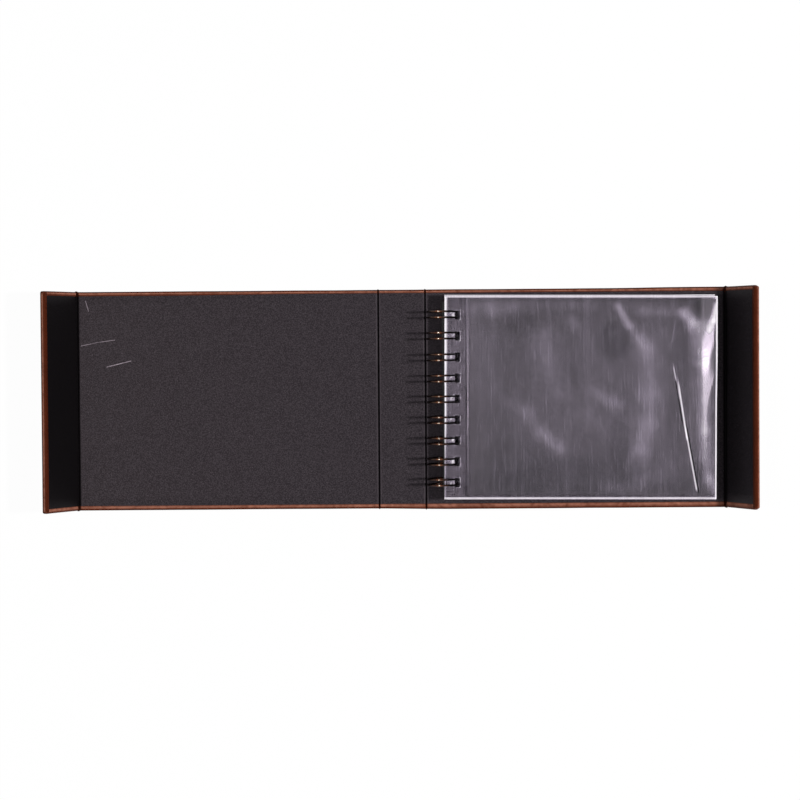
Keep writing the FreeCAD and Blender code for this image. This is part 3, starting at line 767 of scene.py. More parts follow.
def end_section(x, inset, depth, rub_and_lighting):
    """The wrapped end of a flap cut across, with the mitre where its turned edges meet."""
    radius = bpy.context.scene.album_cover.edge_roundness
    half = HALF - inset
    top = LEATHER_TOP - inset
    low = inset
    round_off = min(max(0.00012, radius - inset*0.7), (top - low)*0.45)
    inward = 2.0*max(0.0, inset - radius)/(LEATHER_TOP - 2*radius)
    zone = 0 if inward < 0.1 else 1 if inward < 0.6 else 2
    on_end = depth < 0.5*radius
    # The end's tones: rim and crown give rubbing with a painted highlight above 0 and painted
    # shade below 0; the mitre gets a dark line and the turn-in off the end face gets painted
    # shade.
    rim = rub_and_lighting[0][zone] if on_end else 0.05
    crown = rub_and_lighting[1][zone] if on_end else -0.3
    mitre = min(HALF - TURN_IN + (TURN_IN - depth), half - round_off - 0.0002)

    def turned(angle, drop, wear_and_lighting):
        return (half - round_off + round_off*math.cos(math.radians(angle)),
                drop + round_off*math.sin(math.radians(angle)), wear_and_lighting)

    run = [(mitre - 0.00016, 0.0, crown),
           (mitre, -0.00011 if depth > radius*0.4 else 0.0, -0.4),
           (mitre + 0.00014, 0.00004, 0.25 + crown)]
    run += [turned(90 - 18*k, -round_off, 0.15 + crown) for k in range(6)]
    run += [turned(-18*k, low - top + round_off, rim) for k in range(6)]
    foot = [(-y, top + z, wear_and_lighting) for y, z, wear_and_lighting in run]
    head = [(y, top + z, wear_and_lighting) for y, z, wear_and_lighting in reversed(run)]
    under = [(half*k/5.0, low, rim) for k in range(-4, 5)]
    over = [((mitre - 0.0006)*k/4.5, top, crown) for k in range(4, -5, -1)]
    path = foot + under + head + over
    return [(x, y, z) for y, z, wear_and_lighting in path], [wear_and_lighting for y, z, wear_and_lighting in path]


def dress(piece, body, slot, *stood_for):
    """Hands a finished piece to its body, in place of the CAD nodes that it stands for."""
    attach(piece, body)
    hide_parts(*stood_for)
    return piece


def lined(x, y):
    """Where a place of the lining lies across: its head edge runs in towards the front flap."""
    return y*(1.0 - 0.0075*smooth_step((-0.05 - x)/0.1)) if y > 0 else y


def paper_sheet(name, start, end, body, matrix=None):
    """A lining sheet with softened edges that lap the turned-in leather."""
    low, high = LEVEL - 0.0004, PAPER_TOP
    half = PAPER_HALF
    rows = stations(PAPER_FOOT - half, half, 0.006)
    columns = stations(min(start, end), max(start, end), 0.006)
    points, faces = [], []
    rim = 0.00012
    ys = [rows[0], rows[0] + rim] + rows[1:-1] + [half - rim, half]
    for level in (high, low):
        for i, x in enumerate(columns):
            for j, y in enumerate(ys):
                edge = j in (0, len(ys) - 1)
                lift = 0.00002*noise.noise(Vector((x*60.0, y*60.0, 3.1))) if level == high else 0
                points.append((x, lined(x, y),
                               level + (lift - 0.00009 if edge and level == high else lift)))
    wide, deep = len(ys), len(columns)
    layer = wide*deep
    for i in range(deep - 1):
        for j in range(wide - 1):
            a = i*wide + j
            faces.append((a, a + wide, a + wide + 1, a + 1))
            faces.append((layer + a, layer + a + 1, layer + a + wide + 1, layer + a + wide))
    loop = ([(i*wide) for i in range(deep)] + [(deep - 1)*wide + j for j in range(1, wide)]
            + [i*wide + wide - 1 for i in range(deep - 2, -1, -1)] + list(range(wide - 2, 0, -1)))
    for here, after in zip(loop, loop[1:] + loop[:1]):
        faces.append((here, after, layer + after, layer + here))
    # The standing flaps' linings get painted shade: near black on the front flap, less on the back
    # flap.
    tone = [{"front_flap": -0.97, "back_flap": -0.6}.get(body, 0.0)]*len(points)
    piece = make_piece(name, points, faces, finish("lining"), {"tone": tone}, 50.0, matrix)
    return dress(piece, body, "lining", body + "_lining")


def panel_spans():
    """Each panel's start and end across the folds, as it lies flat, and what turns it up."""
    flap_fold, front, spine, back = (fold_point(name).x for name in FOLDS)
    return {
        "front_flap": (flap_fold - FLAP_GAP/2, flap_fold - FRONT_FLAP_LENGTH, "front_flap_fold"),
        "front_cover": (flap_fold + FLAP_GAP/2, front - SPINE_GAP/2, None),
        "spine": (front + SPINE_GAP/2, spine - SPINE_GAP/2, None),
        "back_cover": (spine + SPINE_GAP/2, back - FLAP_GAP/2, None),
        "back_flap": (back + FLAP_GAP/2, back + BACK_FLAP_LENGTH + BACK_FLAP_EXTRA,
                      "back_flap_fold"),
    }


def dip(across, gap):
    """How deep a fold is at a place across it, as a share of its full depth."""
    return smooth_step(1.0 - abs(across)/(gap*0.29))


def fold_pieces(joint, gap, way):
    """The leather and the lining over one fold; they bend from one panel to the next."""
    cover = bpy.context.scene.album_cover
    middle = fold_point(joint).x
    standing = -JOINTS[joint]["range_deg"][0] > 1.0
    axis = Vector(JOINTS[joint]["axis"])
    pivot = fold_point(joint)
    angle = standing_angle(joint) if standing else 0.0

    def bent(point, across):
        share = smooth_step((across*way)/gap + 0.5)
        turn = Matrix.Rotation(angle*share, 3, axis)
        return tuple(pivot + turn @ (Vector(point) - pivot))

    spread = [gap*(k/20.0 - 0.5) for k in range(21)]
    points, faces, wear_and_lighting, rings = [], [], [], []
    for across in spread:
        deep = dip(across, gap)
        ring, ring_wear_and_lighting = wrap_section(middle + across, 0.0013*deep, LEATHER_TOP - 0.0011*deep,
                                 HALF + cover.end_bulge*deep**2)
        rings.append([bent(p, across) for p in ring])
        # Deep in the fold the leather's tone turns to painted shade.
        wear_and_lighting.extend(r*(1.0 - deep) - deep for r in ring_wear_and_lighting)
    loft(rings, points, faces)
    leather = make_piece(joint + "_leather", points, faces, finish("leather"), {"tone": wear_and_lighting},
                         45.0)

    points, faces, rings, tone = [], [], [], []
    for y in stations(PAPER_FOOT - PAPER_HALF, PAPER_HALF, 0.003):
        ring = []
        for across in spread:
            uneven = 1.0 + 0.06*noise.noise(Vector((across*900.0, y*70.0, middle)))
            deep = dip(across, gap)*uneven
            # lip: a painted highlight where the lining rolls over into the groove.
            lip = bell((abs(across) - 0.00095)/0.0006)
            if standing:
                lip = 0.4*bell((-across*way - 0.0012)/0.0003)
            lip *= 0.6 + 0.4*noise.noise(Vector((across*9.0, y*45.0, middle*9.0)))
            flat = (middle + across, lined(middle + across, y))
            ring.append(bent((*flat, PAPER_TOP + 0.00006*lip - cover.groove_depth*deep),
                             across))
            # The tone's dark part is painted shade deep in the groove and over a standing flap's
            # side of its fold.
            painted_dark = max(deep*1.3, smooth_step((0.0008 + across*way)/0.0003) if standing else 0)
            tone.append(max(-0.95, lip - painted_dark))
        for across in reversed(spread):
            deep = dip(across, gap)
            flat = (middle + across, lined(middle + across, y))
            ring.append(bent((*flat, LEVEL - 0.0003 - cover.groove_depth*deep), across))
            # The lining's underside gets painted shade.
            tone.append(-0.5)
        rings.append(ring)
    loft(rings, points, faces)
    lining = make_piece(joint + "_lining", points, faces, finish("lining"), {"tone": tone},
                        60.0)

    for piece, slot in ((leather, "covering"), (lining, "lining")):
        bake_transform(piece)
    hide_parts(joint + "_strip")


# ---------------------------------------------------------------- operators: the cover

class AlbumAddLeather(bpy.types.Operator):
    """Wrap the five boards in leather"""
    bl_idname = "album.add_leather"
    bl_label = "Leather Wraps"

    def execute(self, context):
        for body, (start, end, joint) in panel_spans().items():
            matrix = raise_matrix(joint) if joint else None
            wrapped_panel(body + "_leather", start, end, body, matrix, closed_end=bool(joint))
        return {"FINISHED"}


class AlbumAddLinings(bpy.types.Operator):
    """Line the five panels with black paper"""
    bl_idname = "album.add_linings"
    bl_label = "Linings"

    def execute(self, context):
        for body, (start, end, joint) in panel_spans().items():
            matrix = raise_matrix(joint) if joint else None
            if joint:
                end += (TURN_IN + PAPER_GAP)*(1.0 if end < start else -1.0)
            paper_sheet(body + "_paper", start, end, body, matrix)
        return {"FINISHED"}


class AlbumAddFolds(bpy.types.Operator):
    """Bridge the four folds with leather and lining, shaped to each fold as it rests"""
    bl_idname = "album.add_folds"
    bl_label = "Folds"

    def execute(self, context):
        fold_pieces("front_flap_fold", FLAP_GAP, -1.0)
        fold_pieces("front_spine_fold", SPINE_GAP, -1.0)
        fold_pieces("back_spine_fold", SPINE_GAP, -1.0)
        fold_pieces("back_flap_fold", FLAP_GAP, 1.0)
        return {"FINISHED"}


class AlbumFinishHidden(bpy.types.Operator):
    """Give the boards, the closing magnets and their keepers their finishes"""
    bl_idname = "album.finish_hidden"
    bl_label = "Boards and Catches"

    def execute(self, context):
        for name, node in frame["nodes"].items():
            if name.endswith("_board") and name != "carrier_board":
                node.data.materials[0] = finish("greyboard")
        frame["nodes"]["front_flap_magnets"].data.materials[0] = finish("magnet")
        frame["nodes"]["back_flap_keepers"].data.materials[0] = finish("keeper")
        return {"FINISHED"}


# ---------------------------------------------------------------- binding wire

def wire_group():
    """Geometry nodes that repeat one twin loop along a row and give it the wire's thickness."""
    tree = bpy.data.node_groups.new("twin_loop_row", "GeometryNodeTree")
    sockets = tree.interface
    sockets.new_socket("Geometry", in_out="INPUT", socket_type="NodeSocketGeometry")
    for key, kind in (("Loops", "NodeSocketInt"), ("Pitch", "NodeSocketFloat"),
                      ("Wire Radius", "NodeSocketFloat"), ("Axis", "NodeSocketVector"),
                      ("Lean", "NodeSocketFloat"), ("Bow", "NodeSocketFloat"),
                      ("Jitter", "NodeSocketFloat"), ("Row End", "NodeSocketFloat"),
                      ("Finish", "NodeSocketMaterial")):
        sockets.new_socket(key, in_out="INPUT", socket_type=kind)
    sockets.new_socket("Geometry", in_out="OUTPUT", socket_type="NodeSocketGeometry")
    enter = tree.nodes.new("NodeGroupInput").outputs
    leave = tree.nodes.new("NodeGroupOutput")

    def add(kind, inputs=None, **settings):
        return new_node(tree, kind, inputs, **settings)

    def calc(operation, one, other):
        return add("ShaderNodeMath", {0: one, 1: other}, operation=operation).outputs[0]

    half_row = calc("MULTIPLY", calc("MULTIPLY", calc("SUBTRACT", enter["Loops"], 1.0),
                                     enter["Pitch"]), 0.5)
    first = add("ShaderNodeCombineXYZ", {"Y": calc("MULTIPLY", half_row, -1.0)}).outputs[0]
    step = add("ShaderNodeCombineXYZ", {"Y": enter["Pitch"]}).outputs[0]
    row = add("GeometryNodeMeshLine", {"Count": enter["Loops"], "Start Location": first,
                                       "Offset": step}, mode="OFFSET", count_mode="TOTAL")
    loops = add("GeometryNodeInstanceOnPoints", {"Points": row.outputs[0],
                                                 "Instance": enter["Geometry"]})
    real = add("GeometryNodeRealizeInstances", {"Geometry": loops.outputs[0]}).outputs[0]
    place = add("GeometryNodeInputPosition").outputs[0]
    across = add("ShaderNodeSeparateXYZ", {"Vector": place})
    factor = add("GeometryNodeSplineParameter").outputs["Factor"]
    rise = calc("MULTIPLY", calc("MULTIPLY", factor, calc("SUBTRACT", 1.0, factor)), 4.0)
    number = add("GeometryNodeCurveOfPoint").outputs["Curve Index"]
    chance = [add("FunctionNodeRandomValue", {2: -1.0, 3: 1.0, "ID": number, "Seed": seed},
                  data_type="FLOAT").outputs[1] for seed in (3, 11, 29)]
    along = calc("DIVIDE", across.outputs["Y"], half_row)
    bowed = calc("MULTIPLY", calc("MULTIPLY", along, along), enter["Bow"])
    leaned = calc("MULTIPLY", across.outputs["X"], enter["Lean"])
    swayed = calc("MULTIPLY", calc("MULTIPLY", chance[0], rise), enter["Jitter"])
    shift_y = calc("ADD", calc("ADD", calc("MULTIPLY", bowed, rise), leaned), swayed)
    shift_x = calc("MULTIPLY", calc("MULTIPLY", chance[1], rise), enter["Jitter"])
    shift_z = calc("MULTIPLY", calc("MULTIPLY", chance[2], rise),
                   calc("MULTIPLY", enter["Jitter"], 0.6))
    shift = add("ShaderNodeCombineXYZ", {"X": shift_x, "Y": shift_y, "Z": shift_z}).outputs[0]
    moved = add("GeometryNodeSetPosition", {"Geometry": real, "Offset": shift}).outputs[0]
    from_middle = add("ShaderNodeMath", {0: across.outputs["Y"]}, operation="ABSOLUTE").outputs[0]
    beyond = add("FunctionNodeCompare", {0: from_middle, 1: enter["Row End"]},
                 operation="GREATER_THAN")
    kept = add("GeometryNodeDeleteGeometry", {"Geometry": moved, "Selection": beyond.outputs[0]})
    ring = add("GeometryNodeCurvePrimitiveCircle", {"Resolution": 12,
                                                    "Radius": enter["Wire Radius"]})
    tube = add("GeometryNodeCurveToMesh", {"Curve": kept.outputs[0],
                                           "Profile Curve": ring.outputs[0], "Fill Caps": True})
    there = add("GeometryNodeTransform", {"Geometry": tube.outputs[0],
                                          "Translation": enter["Axis"]}).outputs[0]
    again = add("GeometryNodeRealizeInstances", {"Geometry": there}).outputs[0]
    done = add("GeometryNodeSetMaterial", {"Geometry": again, "Material": enter["Finish"]})
    tree.links.new(done.outputs[0], leave.inputs[0])
    return tree


def loop_line(wire):
    """One twin loop about the Y axis, with half of the run to its neighbour at each side."""
    root, tip = math.radians(-70.0), math.radians(360.0 - 97.3)    # they meet at the bottom
    elbow = 0.0012    # radius of the bend into the run between two loops

    def on_ring(angle, y):
        return Vector((wire.radius*math.cos(angle), y, wire.radius*math.sin(angle)))

    def tangent(angle):
        return Vector((-math.sin(angle), 0.0, math.cos(angle)))

    side = wire.spacing/2
    run_end = wire.pitch/2
    down = -tangent(root)
    points = [on_ring(root, -side) + down*elbow + Vector((0, -run_end + side, 0))]
    points += [on_ring(root, -side) + down*elbow*(1 - math.cos(math.radians(18.0*k)))
               + Vector((0, -elbow*(1 - math.sin(math.radians(18.0*k))), 0))
               for k in range(5, -1, -1)]
    turn = [root + (tip - root)*k/44.0 for k in range(1, 45)]
    points += [on_ring(angle, -side) for angle in turn]
    points += [on_ring(tip, -side*math.cos(math.pi*k/10.0))
               + tangent(tip)*side*math.sin(math.pi*k/10.0) for k in range(1, 10)]
    points += [on_ring(angle, side) for angle in reversed(turn)]
    mirrored = [Vector((p.x, -p.y, p.z)) for p in points[:7]]
    return points + mirrored[::-1]


class AlbumAddWire(bpy.types.Operator):
    """Repeat the twin loop along the binding"""
    bl_idname = "album.add_wire"
    bl_label = "Binding Wire"

    def execute(self, context):
        wire = context.scene.album_wire
        line = loop_line(wire)
        curve = bpy.data.curves.new("binding_loops", "CURVE")
        curve.dimensions = "3D"
        spline = curve.splines.new("POLY")
        spline.points.add(len(line) - 1)
        spline.points.foreach_set("co", [c for p in line for c in (*p, 1.0)])
        piece = add_object("binding_loops", curve)
        tree = wire_group()
        modifier = piece.modifiers.new("Row", "NODES")
        modifier.node_group = tree
        values = {"Loops": wire.loops, "Pitch": wire.pitch, "Wire Radius": wire.wire_diameter/2,
                  "Axis": tuple(WIRE_AXIS), "Lean": wire.lean, "Bow": wire.bow,
                  "Jitter": wire.jitter, "Finish": finish("wire"),
                  "Row End": (wire.loops - 1)*wire.pitch/2 + wire.spacing/2 + 0.0016}
        for item in tree.interface.items_tree:
            if item.item_type == "SOCKET" and item.in_out == "INPUT" and item.name in values:
                modifier[item.identifier] = values[item.name]
        piece = fixed_mesh(piece)
        piece.data.shade_smooth()
        dress(piece, "back_cover", "bronzed_wire", "binding_wire")
        return {"FINISHED"}


# ---------------------------------------------------------------- leaves

def leaf_place(x, y, number=LEAF_COUNT):
    """A place on a leaf, from the middle of its binding edge, turned as the block lies."""
    low, high = SLEEVES[number - 1]
    half = (high.x - low.x)/2
    turn = bpy.context.scene.album_leaf.turn
    if number != LEAF_COUNT:
        turn += math.radians(0.12)*noise.noise(Vector((number*3.7, 1.3, 0.2)))
    across = x - half
    return (low.x + half + LEAF_SHIFT[0] + across*math.cos(turn) - y*math.sin(turn),
            LEAF_SHIFT[1] + across*math.sin(turn) + y*math.cos(turn))


CURL_START = 0.14        # from here outwards the top leaf lifts off the block
WELD_LINE = 0.0136       # the pale line at the inner end of the weld along the binding edge
WELD_BINDING = 0.0150    # width of the weld along the binding edge, which the holes go through
WELD_FORE = 0.0020       # width of the weld along the fore edge
POCKET_FOOT = 0.0592     # how far the open pocket reaches from the middle towards the foot


def curl(x, y):
    """How far the top leaf's fore edge lifts, in metres, at a place on the leaf.

    It is steepest about middle, over even to each side, and eases off over near and far."""
    if x <= CURL_START:
        return 0.0
    head = smooth_step((y + 0.012)/0.042)
    middle = 0.1581 + 0.0025*head + 0.0016*smooth_step((-0.024 - y)/0.030)
    even, near, far = 0.0036*head, 0.0042 - 0.0007*head, 0.0022
    steep = 0.367 - 0.037*smooth_step((0.024 - y)/0.014) - 0.016*smooth_step((0.010 - y)/0.025)
    steep -= 0.034*smooth_step((-0.014 - y)/0.030)
    steep *= bpy.context.scene.album_leaf.wave_height/0.0013
    rise, steps = 0.0, 14
    for step in range(steps):
        at = CURL_START + (x - CURL_START)*(step + 0.5)/steps
        away = max(0.0, abs(at - middle) - even)/(near if at < middle else far)
        rise += steep*bell(away)*(x - CURL_START)/steps
    return rise


def waves(x, y, seed):
    """The loose film's long shallow waves, from -1 to 1."""
    return noise.noise(Vector((x*26.0, y*17.0, seed*7.3)))*0.7 + 0.3*noise.noise(
        Vector((x*70.0, y*30.0, seed*3.1)))


def weld(x, y, reach):
    """1 where the two films are welded together, 0 in the open pocket."""
    sides = max(smooth_step((WELD_BINDING - x)/0.0016),
                smooth_step((x - reach + WELD_FORE)/0.0008))
    return max(sides, smooth_step((-POCKET_FOOT - y)/0.0007))


# soft marks on the top film, painted reflections of its bends and curl with some milkiness: start
# and end from the middle of the binding edge and half width, in metres, and how much whiter it is
# there
MARKS = [
    ((0.1050, 0.0560), (0.1120, 0.0435), 0.0020, 0.110),
    ((0.1120, 0.0435), (0.1195, 0.0345), 0.0032, 0.028),
    ((0.1190, 0.0355), (0.1218, 0.0300), 0.0044, 0.050),
    ((0.1225, 0.0280), (0.1240, 0.0040), 0.0058, 0.040),
    ((0.1242, 0.0000), (0.1235, -0.0150), 0.0058, 0.038),
    ((0.1235, -0.0160), (0.1202, -0.0310), 0.0052, 0.052),
    ((0.1195, -0.0330), (0.1215, -0.0480), 0.0065, 0.026),
    ((0.0400, -0.0030), (0.0500, -0.0090), 0.0042, 0.022),
    ((0.0500, -0.0090), (0.0590, -0.0210), 0.0048, 0.022),
    ((0.0590, -0.0210), (0.0695, -0.0305), 0.0040, 0.052),
    ((0.0170, 0.0540), (0.0420, 0.0550), 0.0050, 0.034),
    ((0.0280, 0.0560), (0.0310, 0.0520), 0.0040, 0.030),
    ((0.0220, 0.0440), (0.0260, 0.0100), 0.0110, 0.012),
    ((0.0430, 0.0560), (0.0900, 0.0560), 0.0034, 0.014),
    ((0.0770, 0.0470), (0.0790, 0.0440), 0.0036, 0.040),
    ((0.0600, 0.0350), (0.0680, 0.0040), 0.0062, 0.026),
    ((0.0920, 0.0030), (0.1050, -0.0040), 0.0040, 0.036),
    ((0.0860, -0.0100), (0.1000, -0.0200), 0.0070, 0.012),
    ((0.1180, 0.0530), (0.1440, 0.0520), 0.0036, 0.034),
    ((0.1455, 0.0510), (0.1510, 0.0455), 0.0030, 0.150),
    ((0.1510, 0.0450), (0.1590, 0.0440), 0.0034, 0.150),
    ((0.1540, 0.0400), (0.1558, 0.0220), 0.0036, 0.170),
    ((0.1585, 0.0350), (0.1605, 0.0420), 0.0022, 0.120),
    ((0.1602, 0.0410), (0.1624, 0.0465), 0.0018, 0.420),
    ((0.1624, 0.0465), (0.1643, 0.0565), 0.0012, 0.750),
    ((0.1550, 0.0200), (0.1560, -0.0350), 0.0036, 0.060),
    ((0.1576, 0.0200), (0.1578, -0.0200), 0.0026, 0.180),
    ((0.1580, -0.0200), (0.1598, -0.0500), 0.0030, 0.120),
    ((0.1608, -0.0480), (0.1630, -0.0560), 0.0020, 0.100),
    ((0.1340, 0.0420), (0.1340, -0.0500), 0.0080, 0.010),
    ((0.0990, -0.0540), (0.1180, -0.0540), 0.0040, 0.018),
    ((0.1310, -0.0480), (0.1350, -0.0400), 0.0040, 0.014),
]
# where the film lies wetted to its card: middle, half width, half length and how closely
WETTED = [
    ((0.1030, 0.0345), 0.0105, 0.0125, 0.40),
    ((0.0470, 0.0450), 0.0100, 0.0085, 0.18),
    ((0.0740, 0.0120), 0.0110, 0.0080, 0.12),
    ((0.0800, -0.0520), 0.0460, 0.0160, 0.26),
    ((0.0420, -0.0380), 0.0180, 0.0150, 0.12),
    ((0.1060, -0.0290), 0.0070, 0.0140, 0.16),
    ((0.1430, 0.0240), 0.0070, 0.0200, 0.16),
    ((0.1390, -0.0180), 0.0050, 0.0200, 0.16),
    ((0.1420, -0.0540), 0.0120, 0.0060, 0.20),
    ((0.0300, -0.0540), 0.0260, 0.0080, 0.12),
]

def near_line(x, y, start, end):
    """How far a place is from a straight line between two places."""
    line = (end[0] - start[0], end[1] - start[1])
    along = ((x - start[0])*line[0] + (y - start[1])*line[1])/(line[0]**2 + line[1]**2)
    along = min(1.0, max(0.0, along))
    return math.hypot(x - start[0] - along*line[0], y - start[1] - along*line[1])


def face_haze_and_glare(x, y):
    """How milky the top film is in the open, from handling and from what it rests on, with the
    marks' painted reflections.
    """
    amount = 0.0210 + 0.0080*smooth_step((y + 0.045)/0.05)
    # clearer along the head and by the binding, and in a strip before the curl
    amount -= 0.012*smooth_step((y - 0.036)/0.014) + 0.007*smooth_step((0.055 - x)/0.020)
    amount -= 0.008*smooth_step((x - 0.122)/0.006)*smooth_step((0.150 - x)/0.006)
    for start, end, wide, light in MARKS:
        reach = near_line(x, y, start, end)/wide
        if reach < 3.0:
            amount += light*math.exp(-reach*reach)
    amount += 0.0060*noise.noise(Vector((x*60.0, y*30.0, 9.0)))
    if x < 0.0095:    # rubbed by the wire, from the binding edge to the holes
        amount += 0.002 + 0.016*abs(noise.noise(Vector((x*300.0, y*160.0, 4.0))))
    return max(0.0, amount)


def face_gloss(x, y):
    """How much of the top film's reflection is left where it clings to its card."""
    clings = 0.10*(1.0 + noise.noise(Vector((x*30.0, y*22.0, 2.0))))
    clings += 0.2*smooth_step((y - 0.0578)/0.0012) + 0.3*smooth_step((-0.0590 - y)/0.0010)
    clings += 0.4*bell((x - WELD_LINE - 0.0002)/0.0011)
    for (middle_x, middle_y), wide, deep, amount in WETTED:
        reach = math.hypot((x - middle_x)/wide, (y - middle_y)/deep)
        clings += amount*(1.0 - smooth_step((reach - 0.6)/0.7))
    lifted = smooth_step((x - 0.1500)/0.0040)
    gloss = (0.55 - clings)*(1.0 - lifted) + 0.35*lifted
    if y > 0.010:    # one bright band runs up the curl to the head, dull at both sides
        middle = 0.1580 + 0.0066*smooth_step((y - 0.022)/0.040)
        wide = 0.0017 + 0.0016*bell((y - 0.036)/0.011)
        held = smooth_step((y - 0.010)/0.012)*smooth_step((x - 0.1500)/0.0030)
        shine = smooth_step(1.5 - abs(x - middle)/wide)
        dull = 0.04 + 0.14*smooth_step((y - 0.044)/0.006)
        gloss += held*(dull + (1.0 - dull)*shine - gloss)
    return max(0.04, gloss)


def edge_glare_and_haze(x, y, wide, half, top):
    """How white a film is at its edges, welds and holes: whitened cut edges with painted
    highlights, and the pale weld line.
    """
    # Lower leaves, in the top leaf's shade, get less painted highlight.
    strength = 1.0 if top else 0.35
    # the binding edge carries a painted highlight from clear to left, a band that narrows towards
    # the foot
    left = 0.0014 - 0.0007*smooth_step((0.03 - y)/0.08)
    clear = 0.00055*smooth_step((0.035 - y)/0.085)
    binding = 0.98*smooth_step((left - x)/0.0003 + 0.5)*smooth_step((x - clear)/0.0003 + 0.9)
    fore = 0.95*smooth_step((x - wide + 0.0009)/0.0003)
    foot = 0.64 + 0.12*noise.noise(Vector((x*260.0, 3.0, 1.0)))
    foot *= smooth_step((-half + 0.0017 - y)/0.0005)
    line = 0.16*smooth_step((y + 0.012)/0.065)*bell((x - WELD_LINE)/0.00035)
    return max(binding, fore, foot, line)*strength


TIGHT = [0.150 + 0.0005*k for k in range(28)]    # closer lines where the top leaf curls


def spread_lines(lines, step):
    """The given lines with evenly spaced ones put in wherever a gap is wider than step."""
    lines = sorted(set(round(v, 6) for v in lines))
    filled = [lines[0]]
    for low, high in zip(lines, lines[1:]):
        count = max(1, math.ceil((high - low)/step - 0.001))
        filled += [low + (high - low)*k/count for k in range(1, count + 1)]
    return filled


def film(sheet, xs, ys, place, height, keep=None, milk_and_glare=None):
    """Adds a grid of faces that look up to a sheet, leaving out what keep says."""
    first = len(sheet["points"])
    for x in xs:
        for y in ys:
            sheet["points"].append((*place(x, y), height(x, y)))
            if milk_and_glare:
                sheet["haze_and_glare"].append(milk_and_glare(x, y))
                sheet["gloss"].append(face_gloss(x, y))
    for i in range(len(xs) - 1):
        for j in range(len(ys) - 1):
            if keep is None or keep((xs[i] + xs[i + 1])/2, (ys[j] + ys[j + 1])/2):
                a = first + i*len(ys) + j
                sheet["faces"].append((a, a + len(ys), a + len(ys) + 1, a + 1))


def loose_points(mesh):
    """Takes out points that no face uses."""
    shape = bmesh.new()
    shape.from_mesh(mesh)
    bmesh.ops.delete(shape, geom=[v for v in shape.verts if not v.link_faces], context="VERTS")
    shape.to_mesh(mesh)
    shape.free()


def thick_sheet(name, sheet, thickness, material):
    """A mesh object of a sheet's points and faces, thickened downwards."""
    mesh = bpy.data.meshes.new(name)
    mesh.from_pydata(sheet["points"], [], sheet["faces"])
    for key in ("haze_and_glare", "gloss"):
        if sheet[key]:
            mesh.attributes.new(key, "FLOAT", "POINT").data.foreach_set("value", sheet[key])
    mesh.materials.append(finish(material))
    piece = add_object(name, mesh)
    wall = piece.modifiers.new("Thickness", "SOLIDIFY")
    wall.thickness = thickness
    wall.offset = -1.0
    piece = fixed_mesh(piece)
    loose_points(piece.data)
    finish_mesh(piece.data, 50.0)
    return piece


HOLE_X = 0.0079          # the middle of the row of holes, from the binding edge
HOLE_HALF = 0.0016       # half a hole's width
HOLE_DOWN = 0.0034       # how far a hole reaches towards the foot from its loop's middle
HOLE_RIM = 0.00042       # width of a hole's whitened rim, which carries a painted highlight
MOUTH_END = 0.0016       # how far from the fore edge the pocket's mouth ends


